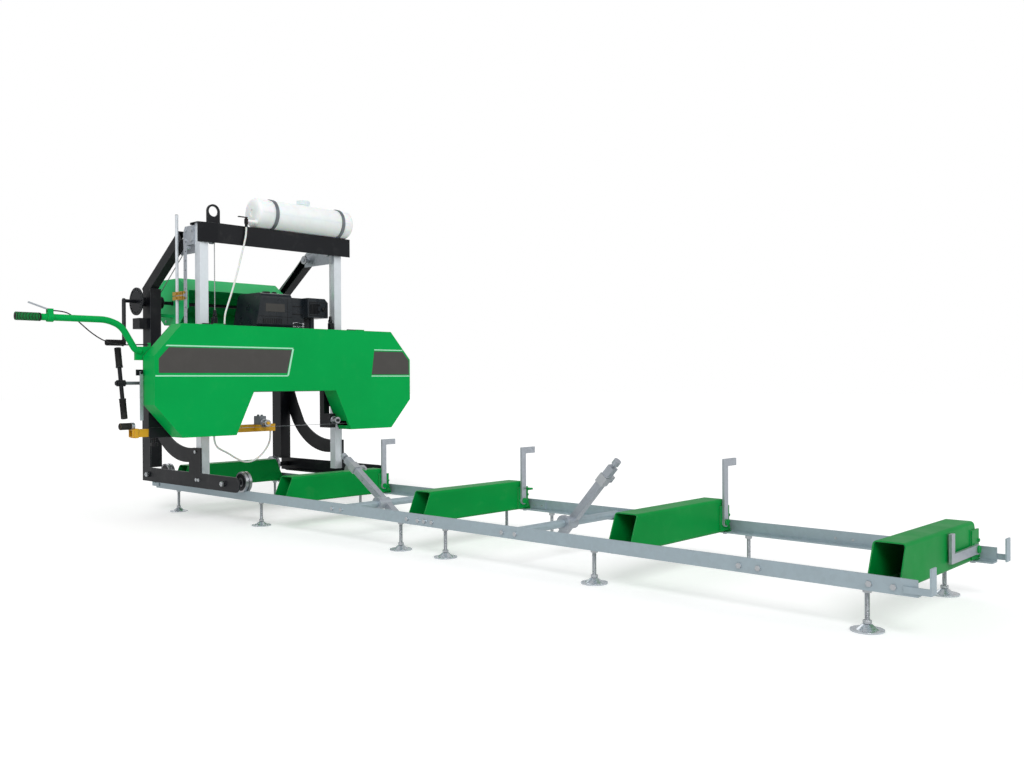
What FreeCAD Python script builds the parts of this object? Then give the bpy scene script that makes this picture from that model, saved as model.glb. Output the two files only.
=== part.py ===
import FreeCAD, Part
import math
import os

import Sketcher

# Portable band sawmill: a track on levelling feet, a carriage that rolls on it,
# and a saw head that a hand winch lifts on the two front posts of the carriage.
# X runs along the track, Y across it (the operator stands on the -Y side), Z is up.
# The ground is at z = 0 and the origin lies midway between the four corner feet.
# Sizes are millimetres and degrees.

Vector = FreeCAD.Vector

TRACK = {
    "rail_left": -2240,
    "rail_right": 2200,
    "rail_splice": 145,
    "splice_gap": 1,
    "rail_face": 361,
    "rail_base": 127,
    "rail_leg": 50,
    "rail_wall": 5,
    "fishplate_half": 48,
    "fishplate_tall": 36,
    "bunk_wide": 100,
    "bunk_tall": 135,
    "bunk_wall": 4,
    "bunk_round": 12,
    "bunk_low_end": 354,
    "bunk_top_end": 297,
    "bunk_one_inset": 210,
    "bunk_two": -990,
    "bunk_three": 45,
    "bunk_four": 1140,
    "bunk_five_inset": 105,
    "foot_line": 326,
    "foot_left_inset": 201,
    "foot_right_inset": 161,
    "foot_second": -1181,
    "foot_front_third": -72,
    "foot_front_fourth": 216,
    "foot_front_fifth": 1014,
    "foot_rear_third": -37,
    "foot_rear_fourth": 254.5,
    "foot_rear_fifth": 1285,
    "pad_radius": 50,
    "pad_thick": 5,
    "dome_radius": 33,
    "dome_top_radius": 14,
    "dome_tall": 16,
    "anchor_reach": 40,
    "anchor_hole_radius": 4.5,
    "screw_radius": 8,
    "screw_stop": 1,
    "nut_flat": 24,
    "nut_tall": 13,
    "nut_high": 62,
    "bolt_head_radius": 8.5,
    "bolt_head_tall": 5.5,
    "bolt_shank_radius": 5,
    "bolt_hole_radius": 5.4,
    "face_bolt_high": 148,
    "bunk_bolt_half": 36,
    "bar_bolt_half": 35,
    "last_pair": 1666,
    "last_pair_half": 34,
    "bunk_bolt_line": 330,
    "bar_one": -492.5,
    "bar_two": 615,
    "bar_high": 149.5,
    "bar_radius": 17,
    "bar_wall": 3,
    "bar_flange_half": 50,
    "bar_flange_tall": 34,
    "bar_flange_thick": 5,
    "stop_thick": 5,
    "stop_wide": 40,
    "stop_reach": 40,
    "stop_tall": 78,
    "stop_low": 136,
    "rest_gap": 0.3,
    "rest_wide": 30,
    "rest_thick": 10,
    "rest_pivot_y": 290,
    "rest_pivot_z": 175,
    "rest_arm": 255,
    "rest_leg": 65,
    "rest_boss_radius": 18,
    "rest_pin_radius": 8,
    "rest_head_radius": 13,
    "rest_head_tall": 6,
    "fit_gap": 0.05,
    "slide_gap": 0.3,
    "bracket_in": 262,
    "bracket_out": 330,
    "bracket_low": 140,
    "bracket_top": 240,
    "bracket_thick": 6,
    "bracket_bolt_y": 325,
    "bracket_bolt_radius": 6,
    "bracket_bolt_tall": 4,
    "bracket_bolt_pitch": 26,
    "wing_radius": 5,
    "wing_half": 24,
    "wing_reach": 26,
}

CLAMP = {
    "clamp_one_y": -62,
    "clamp_two_y": 30,
    "clamp_one_lean": 57,
    "clamp_two_lean": -42,
    "clamp_one_length": 365,
    "clamp_two_length": 330,
    "clamp_tail": 95,
    "clamp_side": 32,
    "clamp_wall": 3,
    "collar_radius": 28,
    "collar_half": 42,
    "hub_radius": 34,
    "hub_wide": 16,
    "dog_travel": 50,
    "dog_long": 45,
    "dog_wall": 4,
    "dog_hook_reach": 46,
    "dog_hook_tall": 18,
    "dog_hook_thick": 12,
    "knob_radius": 16,
    "knob_tall": 22,
    "knob_stem_radius": 5,
    "knob_stem_tall": 14,
}

CARRIAGE = {
    "post_x": -1560,
    "post_y": 443,
    "post_side": 50,
    "post_wall": 4,
    "post_bottom": 225,
    "plate_in": 468,
    "plate_thick": 8,
    "sill_low": 183,
    "sill_top": 262,
    "sill_nose_x": -1190,
    "frame_back": -2178,
    "web_front": -1527,
    "web_back": -1650,
    "web_top": 397,
    "knee_shoulder_x": -1600,
    "knee_mid_x": -1930,
    "knee_mid_z": 500,
    "knee_radius": 420,
    "knee_high_x": -2000,
    "knee_high_z": 620,
    "knee_top_z": 800,
    "window_right_z": 316,
    "window_arc_x": -2050,
    "window_arc_z": 500,
    "window_radius": 450,
    "window_top_z": 560,
    "sill_flange_reach": 28,
    "sill_flange_thick": 6,
    "column_front": -2087,
    "column_deep": 65,
    "column_wall": 4,
    "column_top": 1300,
    "roller_front_x": -1295,
    "roller_rear_x": -2105,
    "roller_y": 358.5,
    "groove_radius": 45,
    "groove_wide": 8,
    "flange_radius": 54,
    "roller_wide": 36,
    "roller_rest_gap": 0.3,
    "axle_radius": 10,
    "axle_head_radius": 15,
    "axle_head_tall": 8,
    "washer_gap": 1,
    "beam_front": -1510,
    "beam_back": -1610,
    "beam_low": 1503,
    "beam_top": 1611,
    "beam_wall": 4,
    "beam_left": -372,
    "beam_left_end": -482,
    "beam_left_front": -1531,
    "beam_right": 516,
    "eye_radius": 39,
    "eye_thick": 10,
    "eye_hole_radius": 28,
    "eye_front": -1570,
    "eye_y": -364,
    "eye_z": 1682,
    "gusset_back": -1830,
    "gusset_front": -1545,
    "gusset_low": 1460,
    "gusset_top": 1598,
    "gusset_corner_x": -1700,
    "gusset_corner_z": 1538,
    "gusset_outer_low": 1495,
    "gusset_corner": 18,
    "gusset_thick": 5,
    "brace_back_x": -2170,
    "brace_back_z": 1270,
    "brace_front_x": -1750,
    "brace_front_z": 1560,
    "brace_tall": 60,
    "brace_wall": 4,
    "winch_x": -2150,
    "winch_z": 1216,
    "winch_left": -600,
    "winch_right": 440,
    "shaft_radius": 10,
    "shaft_hole_radius": 16,
    "drum_y": 383,
    "drum_radius": 30,
    "drum_wide": 30,
    "drum_rim": 6,
    "drum_rim_thick": 3,
    "bearing_radius": 26,
    "bearing_thick": 14,
    "index_y": -516,
    "index_radius": 80,
    "index_thick": 8,
    "index_hole_radius": 6.5,
    "index_hole_ring": 65,
    "index_hole_count": 20,
    "box_low": 1058,
    "box_high": 1120,
    "box_half": 40,
    "crank_length": 240,
    "crank_wide": 30,
    "crank_thick": 10,
    "crank_knob_radius": 16,
    "crank_knob_long": 100,
    "hood_left": -300,
    "hood_right": 360,
    "hood_back": -2360,
    "hood_deep": 400,
    "hood_low": 1090,
    "hood_top": 1360,
    "hood_chamfer_share": 0.28,
    "hood_back_low_share": 0.35,
    "hood_thick": 2,
    "hood_foot": 40,
    "rear_sheave_x": -1790,
    "rear_sheave_z": 1500,
    "rear_sheave_radius": 25,
    "beam_sheave_z": 1530,
    "beam_sheave_radius": 30,
    "sheave_wide": 14,
    "sheave_rim": 4,
    "sheave_groove_wide": 6,
    "sheave_pin_radius": 6,
    "rope_radius": 2.5,
    "rope_split_z": 1490,
    "rope_low_z": 1140,
    "rope_slack": 0.3,
    "tank_radius": 85,
    "tank_wall": 4,
    "tank_x": -1540,
    "tank_z": 1697,
    "tank_left": -145,
    "tank_right": 512,
    "strap_left": -40,
    "strap_right": 420,
    "strap_wide": 20,
    "strap_thick": 3,
    "strap_gap": 0.3,
    "neck_y": 200,
    "neck_radius": 30,
    "neck_tall": 22,
    "cap_radius": 38,
    "cap_tall": 26,
    "cap_wall": 4,
    "nozzle_radius": 9,
    "elbow_radius": 11,
    "nozzle_x": -1497,
    "nozzle_y": -207,
    "hub_radius_small": 7,
    "hub_small_tall": 10,
    "nozzle_z": 1640,
    "nozzle_drop": 34,
    "lever_long": 50,
    "lever_wide": 12,
    "lever_thick": 5,
    "ruler_x": -1630,
    "ruler_y": -500,
    "ruler_wide": 30,
    "ruler_thick": 4,
    "ruler_low": 1050,
    "ruler_high": 1500,
    "ruler_arm_low": 1470,
    "pointer_z": 1212,
    "pointer_tall": 16,
    "pointer_deep": 22,
    "pointer_over": 15,
    "pointer_slot_half": 8.6,
    "gusset_bolt_inset": 24,
    "web_bolt_x": -1580,
    "web_bolt_z": 375,
    "sill_bolt_left": -1570,
    "sill_bolt_right": -1545,
    "sill_bolt_z": 225,
}

HEAD = {
    "wheel_radius": 241.3,
    "wheel_wide": 32,
    "wheel_y": 535,
    "wheel_z": 747,
    "wheel_front": -1354,
    "wheel_rim": 14,
    "wheel_web": 10,
    "wheel_hub_radius": 34,
    "wheel_spokes": 6,
    "spoke_hole_radius": 42,
    "spoke_hole_ring": 135,
    "axle_size": 12.5,
    "axle_cap_radius": 20,
    "axle_cap_tall": 6,
    "blade_wide": 32,
    "blade_thick": 1.1,
    "blade_gap": 0.3,
    "cover_front": -1328.5,
    "cover_back": -1442.5,
    "cover_wall": 2,
    "cover_top": 1049,
    "cover_top_y": 683,
    "cover_side": 835,
    "cover_shoulder_z": 882,
    "cover_hip_z": 638,
    "cover_bottom": 469,
    "cover_bottom_y": 684,
    "throat_low_y": 378,
    "throat_y": 271,
    "throat_z": 698,
    "notch_low": 492,
    "notch_high": 520,
    "notch_in": 330,
    "notch_out": 400,
    "notch_front": -1346,
    "guard_back": -1446.5,
    "guard_front": -1443.5,
    "hinge_x": -1448.5,
    "hinge_z": 1057,
    "hinge_radius": 5,
    "hinge_pin_radius": 2.5,
    "hinge_leaf": 90,
    "hinge_knuckle": 60,
    "hinge_place": 475,
    "tube_back": -1515,
    "tube_front": -1455,
    "tube_low": 694,
    "tube_high": 800,
    "tube_end": 800,
    "tube_wall": 4,
    "sleeve_half": 45,
    "sleeve_low": 600,
    "sleeve_high": 900,
    "sleeve_gap": 0.3,
    "lug_deep": 23,
    "lug_back": -1545,
    "lug_top": 1100,
    "thimble_radius": 14,
    "thimble_hole": 8,
    "thimble_wide": 10,
    "clip_half": 7,
    "slot_left": -555,
    "slot_right": -500,
    "slot_half": 15,
    "block_left": -600,
    "block_right": -480,
    "block_gap": 1,
    "tension_left": -930,
    "tension_shaft_radius": 8,
    "tension_stop": 2,
    "tee_half": 180,
    "tee_radius": 10,
    "tee_hub_radius": 16,
    "tee_hub_long": 40,
    "tee_grip_radius": 15,
    "tee_grip_long": 95,
    "tee_tilt": 11,
    "pulley_back": -1435,
    "pulley_wide": 30,
    "pulley_gap": 0.5,
    "drive_pulley_radius": 120,
    "engine_pulley_radius": 60,
    "pulley_groove": 8,
    "belt_wide": 16,
    "belt_thick": 9,
    "engine_y": 140,
    "engine_shaft_z": 960,
    "engine_shaft_radius": 12,
    "engine_back": -1940,
    "engine_front": -1630,
    "engine_left": -40,
    "engine_right": 440,
    "engine_low": 810,
    "engine_case_top": 1060,
    "engine_top": 1270,
    "engine_plate_thick": 10,
    "engine_plate_left": -110,
    "engine_plate_right": 370,
    "engine_rib_back": -1800,
    "engine_rib_thick": 8,
    "engine_round": 30,
    "engine_wall": 25,
    "cowl_wall": 4,
    "cleaner_deep": 148,
    "cleaner_long": 120,
    "cleaner_low": 1135,
    "cleaner_top": 1252,
    "cleaner_corner": 24,
    "cowl_left": -45,
    "cowl_slant": 40,
    "cowl_right": 200,
    "cowl_recess": 40,
    "cowl_dip": 20,
    "stub_x": -1665,
    "stub_y": 345,
    "stub_radius": 14,
    "stub_wall": 2,
    "arm_side": 40,
    "arm_back": -1500,
    "arm_low": 475,
    "arm_left": -885,
    "arm_right": -53,
    "arm_wall": 4,
    "arm_sleeve_left": -800,
    "arm_sleeve_right": -620,
    "arm_sleeve_wall": 6,
    "arm_gap": 0.3,
    "guide_y": -170,
    "guide_fixed_y": 300,
    "guide_half": 20,
    "guide_front": -1402,
    "guide_low": 480,
    "guide_top": 562,
    "guide_roller_radius": 19,
    "guide_flange_radius": 23,
    "guide_flange_thick": 5,
    "guide_roller_front": -1353,
    "guide_pin_radius": 6,
    "guide_touch": 0.3,
    "arm_grip_left": -940,
    "arm_grip_right": -868,
    "arm_grip_radius": 16,
    "arm_grip_high": 531,
    "collar_left": -874,
    "collar_right": -854,
    "collar_wall": 4,
    "lock_y": -760,
    "lock_stem": 6,
    "lock_knob_radius": 17,
    "lock_knob_long": 18,
    "lock_reach": 26,
    "handle_x": -1450,
    "handle_start_y": -845,
    "handle_start_z": 905,
    "handle_low_y": -873,
    "handle_low_z": 914,
    "handle_high_y": -943,
    "handle_high_z": 1030,
    "handle_bend_y": -1014,
    "handle_z": 1058,
    "handle_radius": 16,
    "handle_tip": -1440,
    "handle_grip_from": -1330,
    "handle_grip_radius": 19,
    "handle_foot_thick": 20,
    "handle_foot_in": -780,
    "handle_foot_out": -870,
    "handle_foot_low": 862,
    "handle_foot_high": 930,
    "cable_stop_y": -800,
    "cable_stop_top": 950,
    "cable_stop_thick": 8,
    "throttle_y": -1286,
    "throttle_clamp_radius": 22,
    "throttle_clamp_long": 26,
    "throttle_lever_long": 96,
    "throttle_lever_wide": 14,
    "throttle_lever_thick": 6,
    "throttle_lever_rise": 32,
    "throttle_pivot_high": 34,
    "throttle_pin_radius": 3,
    "throttle_hub_radius": 7,
    "throttle_ear_thick": 4,
    "throttle_ear_half": 13,
    "cable_radius": 3,
    "coolant_radius": 5,
    "latch_y": -852,
    "latch_x": -1425,
    "latch_top": 800,
    "latch_low": 560,
    "latch_wide": 16,
    "latch_tab_half": 15,
    "latch_tab_out": -872,
    "latch_thick": 6,
    "latch_pin_radius": 4,
    "rod_x": -1720,
    "rod_y": -500,
    "rod_low": 950,
    "rod_top": 1665,
    "rod_radius": 8,
    "rod_arm_gap": 13,
    "rod_arm_thick": 8,
    "rod_arm_tall": 30,
    "rod_web_half": 5,
}

doc = FreeCAD.newDocument("BandSawmill")
sheet = doc.addObject("Spreadsheet::Sheet", "Sizes")
AXES = ("x", "y", "z")
TURNS = {
    "x": FreeCAD.Rotation(Vector(0, 1, 0), 90),
    "y": FreeCAD.Rotation(Vector(1, 0, 0), -90),
    "z": FreeCAD.Rotation(),
}
PLANES = {"x": "YZ_Plane", "y": "XZ_Plane", "z": "XY_Plane"}
NODES = []


FULL_TURN = 360


class Size:
    """A number with the sheet expression that gives it, so that sums stay bound to the sheet."""

    def __init__(self, value, text):
        self.value = float(value)
        self.text = text

    def join(self, sign, other, value):
        return Size(value, f"({self.text} {sign} {other.text})")

    def __add__(self, other):
        other = as_size(other)
        return self.join("+", other, self.value + other.value)

    def __sub__(self, other):
        other = as_size(other)
        return self.join("-", other, self.value - other.value)

    def __mul__(self, other):
        other = as_size(other)
        return self.join("*", other, self.value * other.value)

    def __truediv__(self, other):
        other = as_size(other)
        return self.join("/", other, self.value / other.value)

    def __radd__(self, other):
        return as_size(other) + self

    def __rsub__(self, other):
        return as_size(other) - self

    def __rmul__(self, other):
        return as_size(other) * self

    def __neg__(self):
        return as_size(0) - self


def as_size(thing):
    """A plain factor, count or zero as a Size."""
    if isinstance(thing, Size):
        return thing
    return Size(thing, f"{thing}")


def sine(angle):
    return Size(math.sin(math.radians(angle.value)), f"sin({angle.text})")


def cosine(angle):
    return Size(math.cos(math.radians(angle.value)), f"cos({angle.text})")


def root(thing):
    return Size(math.sqrt(thing.value), f"sqrt({thing.text})")


class Named:
    """The named sizes of the sheet, read as attributes."""

    def __init__(self, groups):
        row = 0
        for values in groups:
            for name, value in values.items():
                row += 1
                sheet.set(f"A{row}", name)
                sheet.set(f"B{row}", f"{value}")
                sheet.setAlias(f"B{row}", name)
                setattr(self, name, Size(value, f"Sizes.{name}"))


S = Named((TRACK, CLAMP, CARRIAGE, HEAD))
doc.recompute()


def bind(thing, path, size):
    """Bind one property of an object to the sheet."""
    thing.setExpression(path, as_size(size).text)


def move(thing, x, y, z):
    """Bind the place of an object."""
    for axis, size in zip(AXES, (x, y, z)):
        bind(thing, f"Placement.Base.{axis}", size)
    return thing


def ordered(pair):
    """The two ends of a span, the lower one first."""
    low, high = as_size(pair[0]), as_size(pair[1])
    return (low, high) if low.value <= high.value else (high, low)


def box(x, y, z):
    """A block between two places on each axis."""
    thing = doc.addObject("Part::Box", "Block")
    spans = [ordered(pair) for pair in (x, y, z)]
    for name, (low, high) in zip(("Length", "Width", "Height"), spans):
        bind(thing, name, high - low)
    return move(thing, *[low for low, high in spans])


def rod(axis, centre, radius, span):
    """A round bar along an axis; centre holds the places on the two other axes, in x, y, z order."""
    thing = doc.addObject("Part::Cylinder", "Rod")
    low, high = ordered(span)
    thing.Placement = FreeCAD.Placement(Vector(), TURNS[axis])
    bind(thing, "Radius", radius)
    bind(thing, "Height", high - low)
    place = list(centre)
    place.insert(AXES.index(axis), low)
    return move(thing, *place)


def cone(centre, low_radius, high_radius, span):
    """A cone along Z."""
    thing = doc.addObject("Part::Cone", "Cone")
    low, high = ordered(span)
    bind(thing, "Radius1", low_radius)
    bind(thing, "Radius2", high_radius)
    bind(thing, "Height", high - low)
    return move(thing, centre[0], centre[1], low)


def hexagon(axis, centre, across, span):
    """A hexagonal nut or head along Z or Y."""
    thing = doc.addObject("Part::Prism", "Hexagon")
    low, high = ordered(span)
    thing.Polygon = 6
    thing.Placement = FreeCAD.Placement(Vector(), TURNS[axis])
    bind(thing, "Circumradius", across / root(as_size(3)))
    bind(thing, "Height", high - low)
    place = list(centre)
    place.insert(AXES.index(axis), low)
    return move(thing, *place)


def cut(base, *tools):
    """One solid less others."""
    thing = doc.addObject("Part::Cut", "Cut")
    thing.Base = base
    thing.Tool = tools[0] if len(tools) == 1 else weld(*tools)
    return thing


def weld(*pieces):
    """Several solids fused into one."""
    thing = doc.addObject("Part::MultiFuse", "Weld")
    thing.Shapes = list(pieces)
    return thing


def group(*pieces):
    """Several separate solids kept together."""
    thing = doc.addObject("Part::Compound", "Group")
    thing.Links = list(pieces)
    return thing


def node(label, thing):
    """Name a sub-part, which is written out under its label."""
    thing.Label = label
    NODES.append(thing)
    return thing


def arc_between(start, end, radius, side):
    """An arc between two points; side 1 bulges to the left of the way, side -1 to the right."""
    half = (end - start) * 0.5
    rise = math.sqrt(max(radius * radius - half.Length * half.Length, 0))
    across = Vector(-half.y, half.x, 0)
    across.normalize()
    centre = start + half - across * (rise * side)
    first, last = (end, start) if side > 0 else (start, end)
    angles = [math.atan2(spot.y - centre.y, spot.x - centre.x) for spot in (first, last)]
    if angles[1] < angles[0]:
        angles[1] += 2 * math.pi
    return Part.ArcOfCircle(Part.Circle(centre, Vector(0, 0, 1), radius), *angles)


def plate(axis, outline, span):
    """A plate square to an axis, from an outline of points (a, b) or (a, b, radius, side).

    The outline lies on the two other axes, in x, y, z order. A radius makes the edge to the next
    point an arc, which bulges to the left of the way for side 1 and to the right for side -1.
    """
    body = doc.addObject("PartDesign::Body", "Plate")
    sketch = body.newObject("Sketcher::SketchObject", "Outline")
    origin = [item for item in body.Origin.OriginFeatures if item.Role == PLANES[axis]][0]
    sketch.AttachmentSupport = (origin, [""])
    sketch.MapMode = "FlatFace"
    points = [(as_size(point[0]), as_size(point[1])) for point in outline]
    spots = [Vector(a.value, b.value, 0) for a, b in points]
    count = len(outline)
    starts = []
    for i, point in enumerate(outline):
        first, last = spots[i], spots[(i + 1) % count]
        if len(point) > 2:
            sketch.addGeometry(arc_between(first, last, point[2].value, point[3]), False)
            starts.append(2 if point[3] > 0 else 1)
        else:
            sketch.addGeometry(Part.LineSegment(first, last), False)
            starts.append(1)
    for i in range(count):
        follower = (i + 1) % count
        link = Sketcher.Constraint("Coincident", i, 3 - starts[i], follower, starts[follower])
        sketch.addConstraint(link)
    for i, (a, b) in enumerate(points):
        for kind, size in (("DistanceX", a), ("DistanceY", b)):
            rule = Sketcher.Constraint(kind, -1, 1, i, starts[i], size.value)
            index = sketch.addConstraint(rule)
            bind(sketch, f"Constraints[{index}]", size)
        if len(outline[i]) > 2:
            index = sketch.addConstraint(Sketcher.Constraint("Radius", i, outline[i][2].value))
            bind(sketch, f"Constraints[{index}]", outline[i][2])
    low, high = ordered(span)
    pad = body.newObject("PartDesign::Pad", "Thickness")
    pad.Profile = sketch
    bind(pad, "Length", high - low)
    start = high if axis == "y" else low
    place = [0, 0, 0]
    place[AXES.index(axis)] = start
    return move(body, *place)


def square_tube(axis, centre, half_a, half_b, wall, span):
    """A rectangular tube along an axis, open at both ends."""
    index = AXES.index(axis)
    low, high = ordered(span)
    solids = []
    for inset, over in ((0, 0), (wall, wall)):
        spans = [
            (centre[0] - half_a + inset, centre[0] + half_a - inset),
            (centre[1] - half_b + inset, centre[1] + half_b - inset),
        ]
        spans.insert(index, (low - over, high + over))
        solids.append(box(*spans))
    return cut(*solids)


def pipe(axis, centre, radius, wall, span):
    """A round tube along an axis, open at both ends."""
    low, high = ordered(span)
    outer = rod(axis, centre, radius, span)
    inner = rod(axis, centre, radius - wall, (low - wall, high + wall))
    return cut(outer, inner)


def bar_corners(start, end, wide, shift=0):
    """The corners of a bar between two points of a plane."""
    run_a, run_b = end[0] - start[0], end[1] - start[1]
    length = root(run_a * run_a + run_b * run_b)
    side_a, side_b = -run_b / length, run_a / length
    low, high = shift - wide / 2, shift + wide / 2
    return [
        (start[0] + side_a * low, start[1] + side_b * low),
        (end[0] + side_a * low, end[1] + side_b * low),
        (end[0] + side_a * high, end[1] + side_b * high),
        (start[0] + side_a * high, start[1] + side_b * high),
    ]


def mirror_pair(low, high, side):
    """A span on the +Y side, or its mirror image on the -Y side."""
    return (low * side, high * side)


SIDES = (("left", -1), ("right", 1))


# Track

BUNK_ONE = S.rail_left + S.bunk_one_inset
BUNK_FIVE = S.rail_right - S.bunk_five_inset
FOOT_LEFT = S.rail_left + S.foot_left_inset
FOOT_RIGHT = S.rail_right - S.foot_right_inset
BUNKS = [BUNK_ONE, S.bunk_two, S.bunk_three, S.bunk_four, BUNK_FIVE]
FRONT_FEET = [FOOT_LEFT, S.foot_second, S.foot_front_third, S.foot_front_fourth, S.foot_front_fifth,
              FOOT_RIGHT]
REAR_FEET = [FOOT_LEFT, S.foot_second, S.foot_rear_third, S.foot_rear_fourth, S.foot_rear_fifth,
             FOOT_RIGHT]
RAIL_WEB = S.rail_face - S.rail_wall
BUNK_LOW = S.rail_base + S.rail_wall
BUNK_TOP = BUNK_LOW + S.bunk_tall
FOOT_TOP = S.rail_base + S.rail_wall - S.screw_stop


def face_bolt_places():
    """Places along the rail of the bolts in its upright face."""
    places = []
    for bar in (S.bar_one, S.bar_two):
        places += [bar - S.bar_bolt_half, bar + S.bar_bolt_half]
    for pair, half in ((S.bunk_three, S.bunk_bolt_half), (S.rail_splice, S.fishplate_half / 2),
                       (S.last_pair, S.last_pair_half), (BUNK_FIVE, S.bunk_bolt_half)):
        places += [pair - half, pair + half]
    return places


def rails(side):
    """The two angle sections of one rail, with the holes for its bolts and levelling screws."""
    sections = []
    middle = S.rail_splice
    for start, end in ((S.rail_left, middle - S.splice_gap / 2), (middle + S.splice_gap / 2, S.rail_right)):
        web = box((start, end), mirror_pair(RAIL_WEB, S.rail_face, side),
                  (S.rail_base, S.rail_base + S.rail_leg))
        foot = box((start, end), mirror_pair(S.rail_face - S.rail_leg, S.rail_face, side),
                   (S.rail_base, BUNK_LOW))
        sections.append(weld(web, foot))
    holes = []
    for place in face_bolt_places():
        holes.append(rod("y", (place, S.face_bolt_high), S.bolt_hole_radius,
                         mirror_pair(RAIL_WEB - S.rail_wall, S.rail_face + S.rail_wall, side)))
    for place in FRONT_FEET if side < 0 else REAR_FEET:
        holes.append(rod("z", (place, S.foot_line * side), S.screw_radius + S.fit_gap,
                         (S.rail_base - S.rail_wall, BUNK_LOW + S.rail_wall)))
    return cut(group(*sections), *holes)


def rail_fittings():
    """Fishplates inside the splices and the stops at the rail ends."""
    pieces = []
    for name, side in SIDES:
        low = BUNK_LOW + S.screw_stop
        fishplate = box((S.rail_splice - S.fishplate_half, S.rail_splice + S.fishplate_half),
                        mirror_pair(RAIL_WEB - S.rail_wall, RAIL_WEB, side), (low, low + S.fishplate_tall))
        holes = [rod("y", (S.rail_splice + S.fishplate_half / 2 * way, S.face_bolt_high), S.bolt_hole_radius,
                     mirror_pair(RAIL_WEB - S.rail_wall * 2, RAIL_WEB + S.rail_wall, side)) for way in (-1, 1)]
        pieces.append(cut(fishplate, *holes))
        for end, way in ((S.rail_left, -1), (S.rail_right, 1)):
            strip = box((end - S.stop_reach * way, end + S.stop_reach * way),
                        mirror_pair(S.rail_face, S.rail_face + S.stop_thick, side),
                        (S.stop_low, S.stop_low + S.stop_wide / 2))
            leg = box((end + (S.stop_reach - S.stop_thick) * way, end + S.stop_reach * way),
                      mirror_pair(S.rail_face + S.stop_thick - S.stop_wide, S.rail_face + S.stop_thick, side),
                      (S.stop_low, S.stop_low + S.stop_tall))
            pieces.append(weld(strip, leg))
    return group(*pieces)


def rounded(axis, a, b, radius, span):
    """A block along an axis with rounded corners; a and b are its spans on the two other axes."""
    low_a, high_a = ordered(a)
    low_b, high_b = ordered(b)
    outline = [
        (low_a + radius, low_b), (high_a - radius, low_b, radius, -1),
        (high_a, low_b + radius), (high_a, high_b - radius, radius, -1),
        (high_a - radius, high_b), (low_a + radius, high_b, radius, -1),
        (low_a, high_b - radius), (low_a, low_b + radius, radius, -1),
    ]
    return plate(axis, outline, span)


def bunk(place):
    """One cross tube of the track, mitred at both ends."""
    reach = S.bunk_low_end
    half = S.bunk_wide / 2
    inner_half = half - S.bunk_wall
    outer = rounded("y", (-half, half), (BUNK_LOW, BUNK_TOP), S.bunk_round, (-reach, reach))
    inner = rounded("y", (-inner_half, inner_half), (BUNK_LOW + S.bunk_wall, BUNK_TOP - S.bunk_wall),
                    S.bunk_round - S.bunk_wall, (-reach - S.bunk_wall, reach + S.bunk_wall))
    over = S.bunk_low_end - S.bunk_top_end
    wedges = []
    for name, side in SIDES:
        corners = [(reach * side, BUNK_LOW), (S.bunk_top_end * side, BUNK_TOP),
                   ((S.bunk_top_end - over) * side, BUNK_TOP + S.bunk_tall),
                   ((reach + over) * side, BUNK_TOP + S.bunk_tall), ((reach + over) * side, BUNK_LOW)]
        wedges.append(plate("x", corners, (-S.bunk_wide, S.bunk_wide)))
    tube = cut(outer, inner, *wedges)
    bind(tube, "Placement.Base.x", place)
    return tube


def jack_screw(place, side):
    """A levelling screw with its two nuts."""
    spot = (place, S.foot_line * side)
    low = S.pad_thick + S.dome_tall
    screw = rod("z", spot, S.screw_radius, (low, FOOT_TOP))
    nuts = [hexagon("z", spot, S.nut_flat, (start, start + S.nut_tall))
            for start in (S.rail_base - S.nut_tall, S.nut_high)]
    return weld(screw, *nuts)


def foot_pad(place, side):
    """A round pad with a domed boss; the pads at the corners have an anchor hole."""
    spot = (place, S.foot_line * side)
    flange = rod("z", spot, S.pad_radius, (0, S.pad_thick))
    dome = cone(spot, S.dome_radius, S.dome_top_radius, (S.pad_thick, S.pad_thick + S.dome_tall))
    pad = weld(flange, dome)
    if place is not FOOT_LEFT and place is not FOOT_RIGHT:
        return pad
    hole = rod("z", (place, (S.foot_line + S.anchor_reach) * side), S.anchor_hole_radius,
               (-S.pad_thick, S.pad_thick + S.pad_thick))
    return cut(pad, hole)


def cross_bar(place):
    """A round bar across the track with a bolted flange at each end."""
    reach = RAIL_WEB - S.bar_flange_thick
    solids = [pipe("y", (place, S.bar_high), S.bar_radius, S.bar_wall, (-reach, reach))]
    for name, side in SIDES:
        low = BUNK_LOW + S.screw_stop
        flange = box((place - S.bar_flange_half, place + S.bar_flange_half),
                     mirror_pair(reach, RAIL_WEB, side), (low, low + S.bar_flange_tall))
        holes = [rod("y", (place + S.bar_bolt_half * way, S.face_bolt_high), S.bolt_hole_radius,
                     mirror_pair(reach - S.rail_wall, RAIL_WEB + S.rail_wall, side)) for way in (-1, 1)]
        solids.append(cut(flange, *holes))
    return weld(*solids)


def face_bolt(place, side):
    """A bolt through the upright face of a rail, with its nut inside."""
    at_plate = abs(place.value - S.bunk_three.value) > S.bunk_wide.value / 2
    inner = RAIL_WEB - S.rail_wall if at_plate and abs(place.value) < S.last_pair.value / 2 else RAIL_WEB
    head = hexagon("y", (place, S.face_bolt_high), S.bolt_head_radius * 2,
                   mirror_pair(S.rail_face, S.rail_face + S.bolt_head_tall, side))
    shank = rod("y", (place, S.face_bolt_high), S.bolt_shank_radius,
                mirror_pair(inner, S.rail_face + S.bolt_head_tall, side))
    return weld(head, shank)


def bunk_bolt(place, side):
    """A bolt head under the rail, below a bunk."""
    return hexagon("z", (place, S.bunk_bolt_line * side), S.bolt_head_radius * 2,
                   (S.rail_base - S.bolt_head_tall, S.rail_base))


node("front_rail", rails(-1))
node("rear_rail", rails(1))
node("rail_fittings", rail_fittings())


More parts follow.
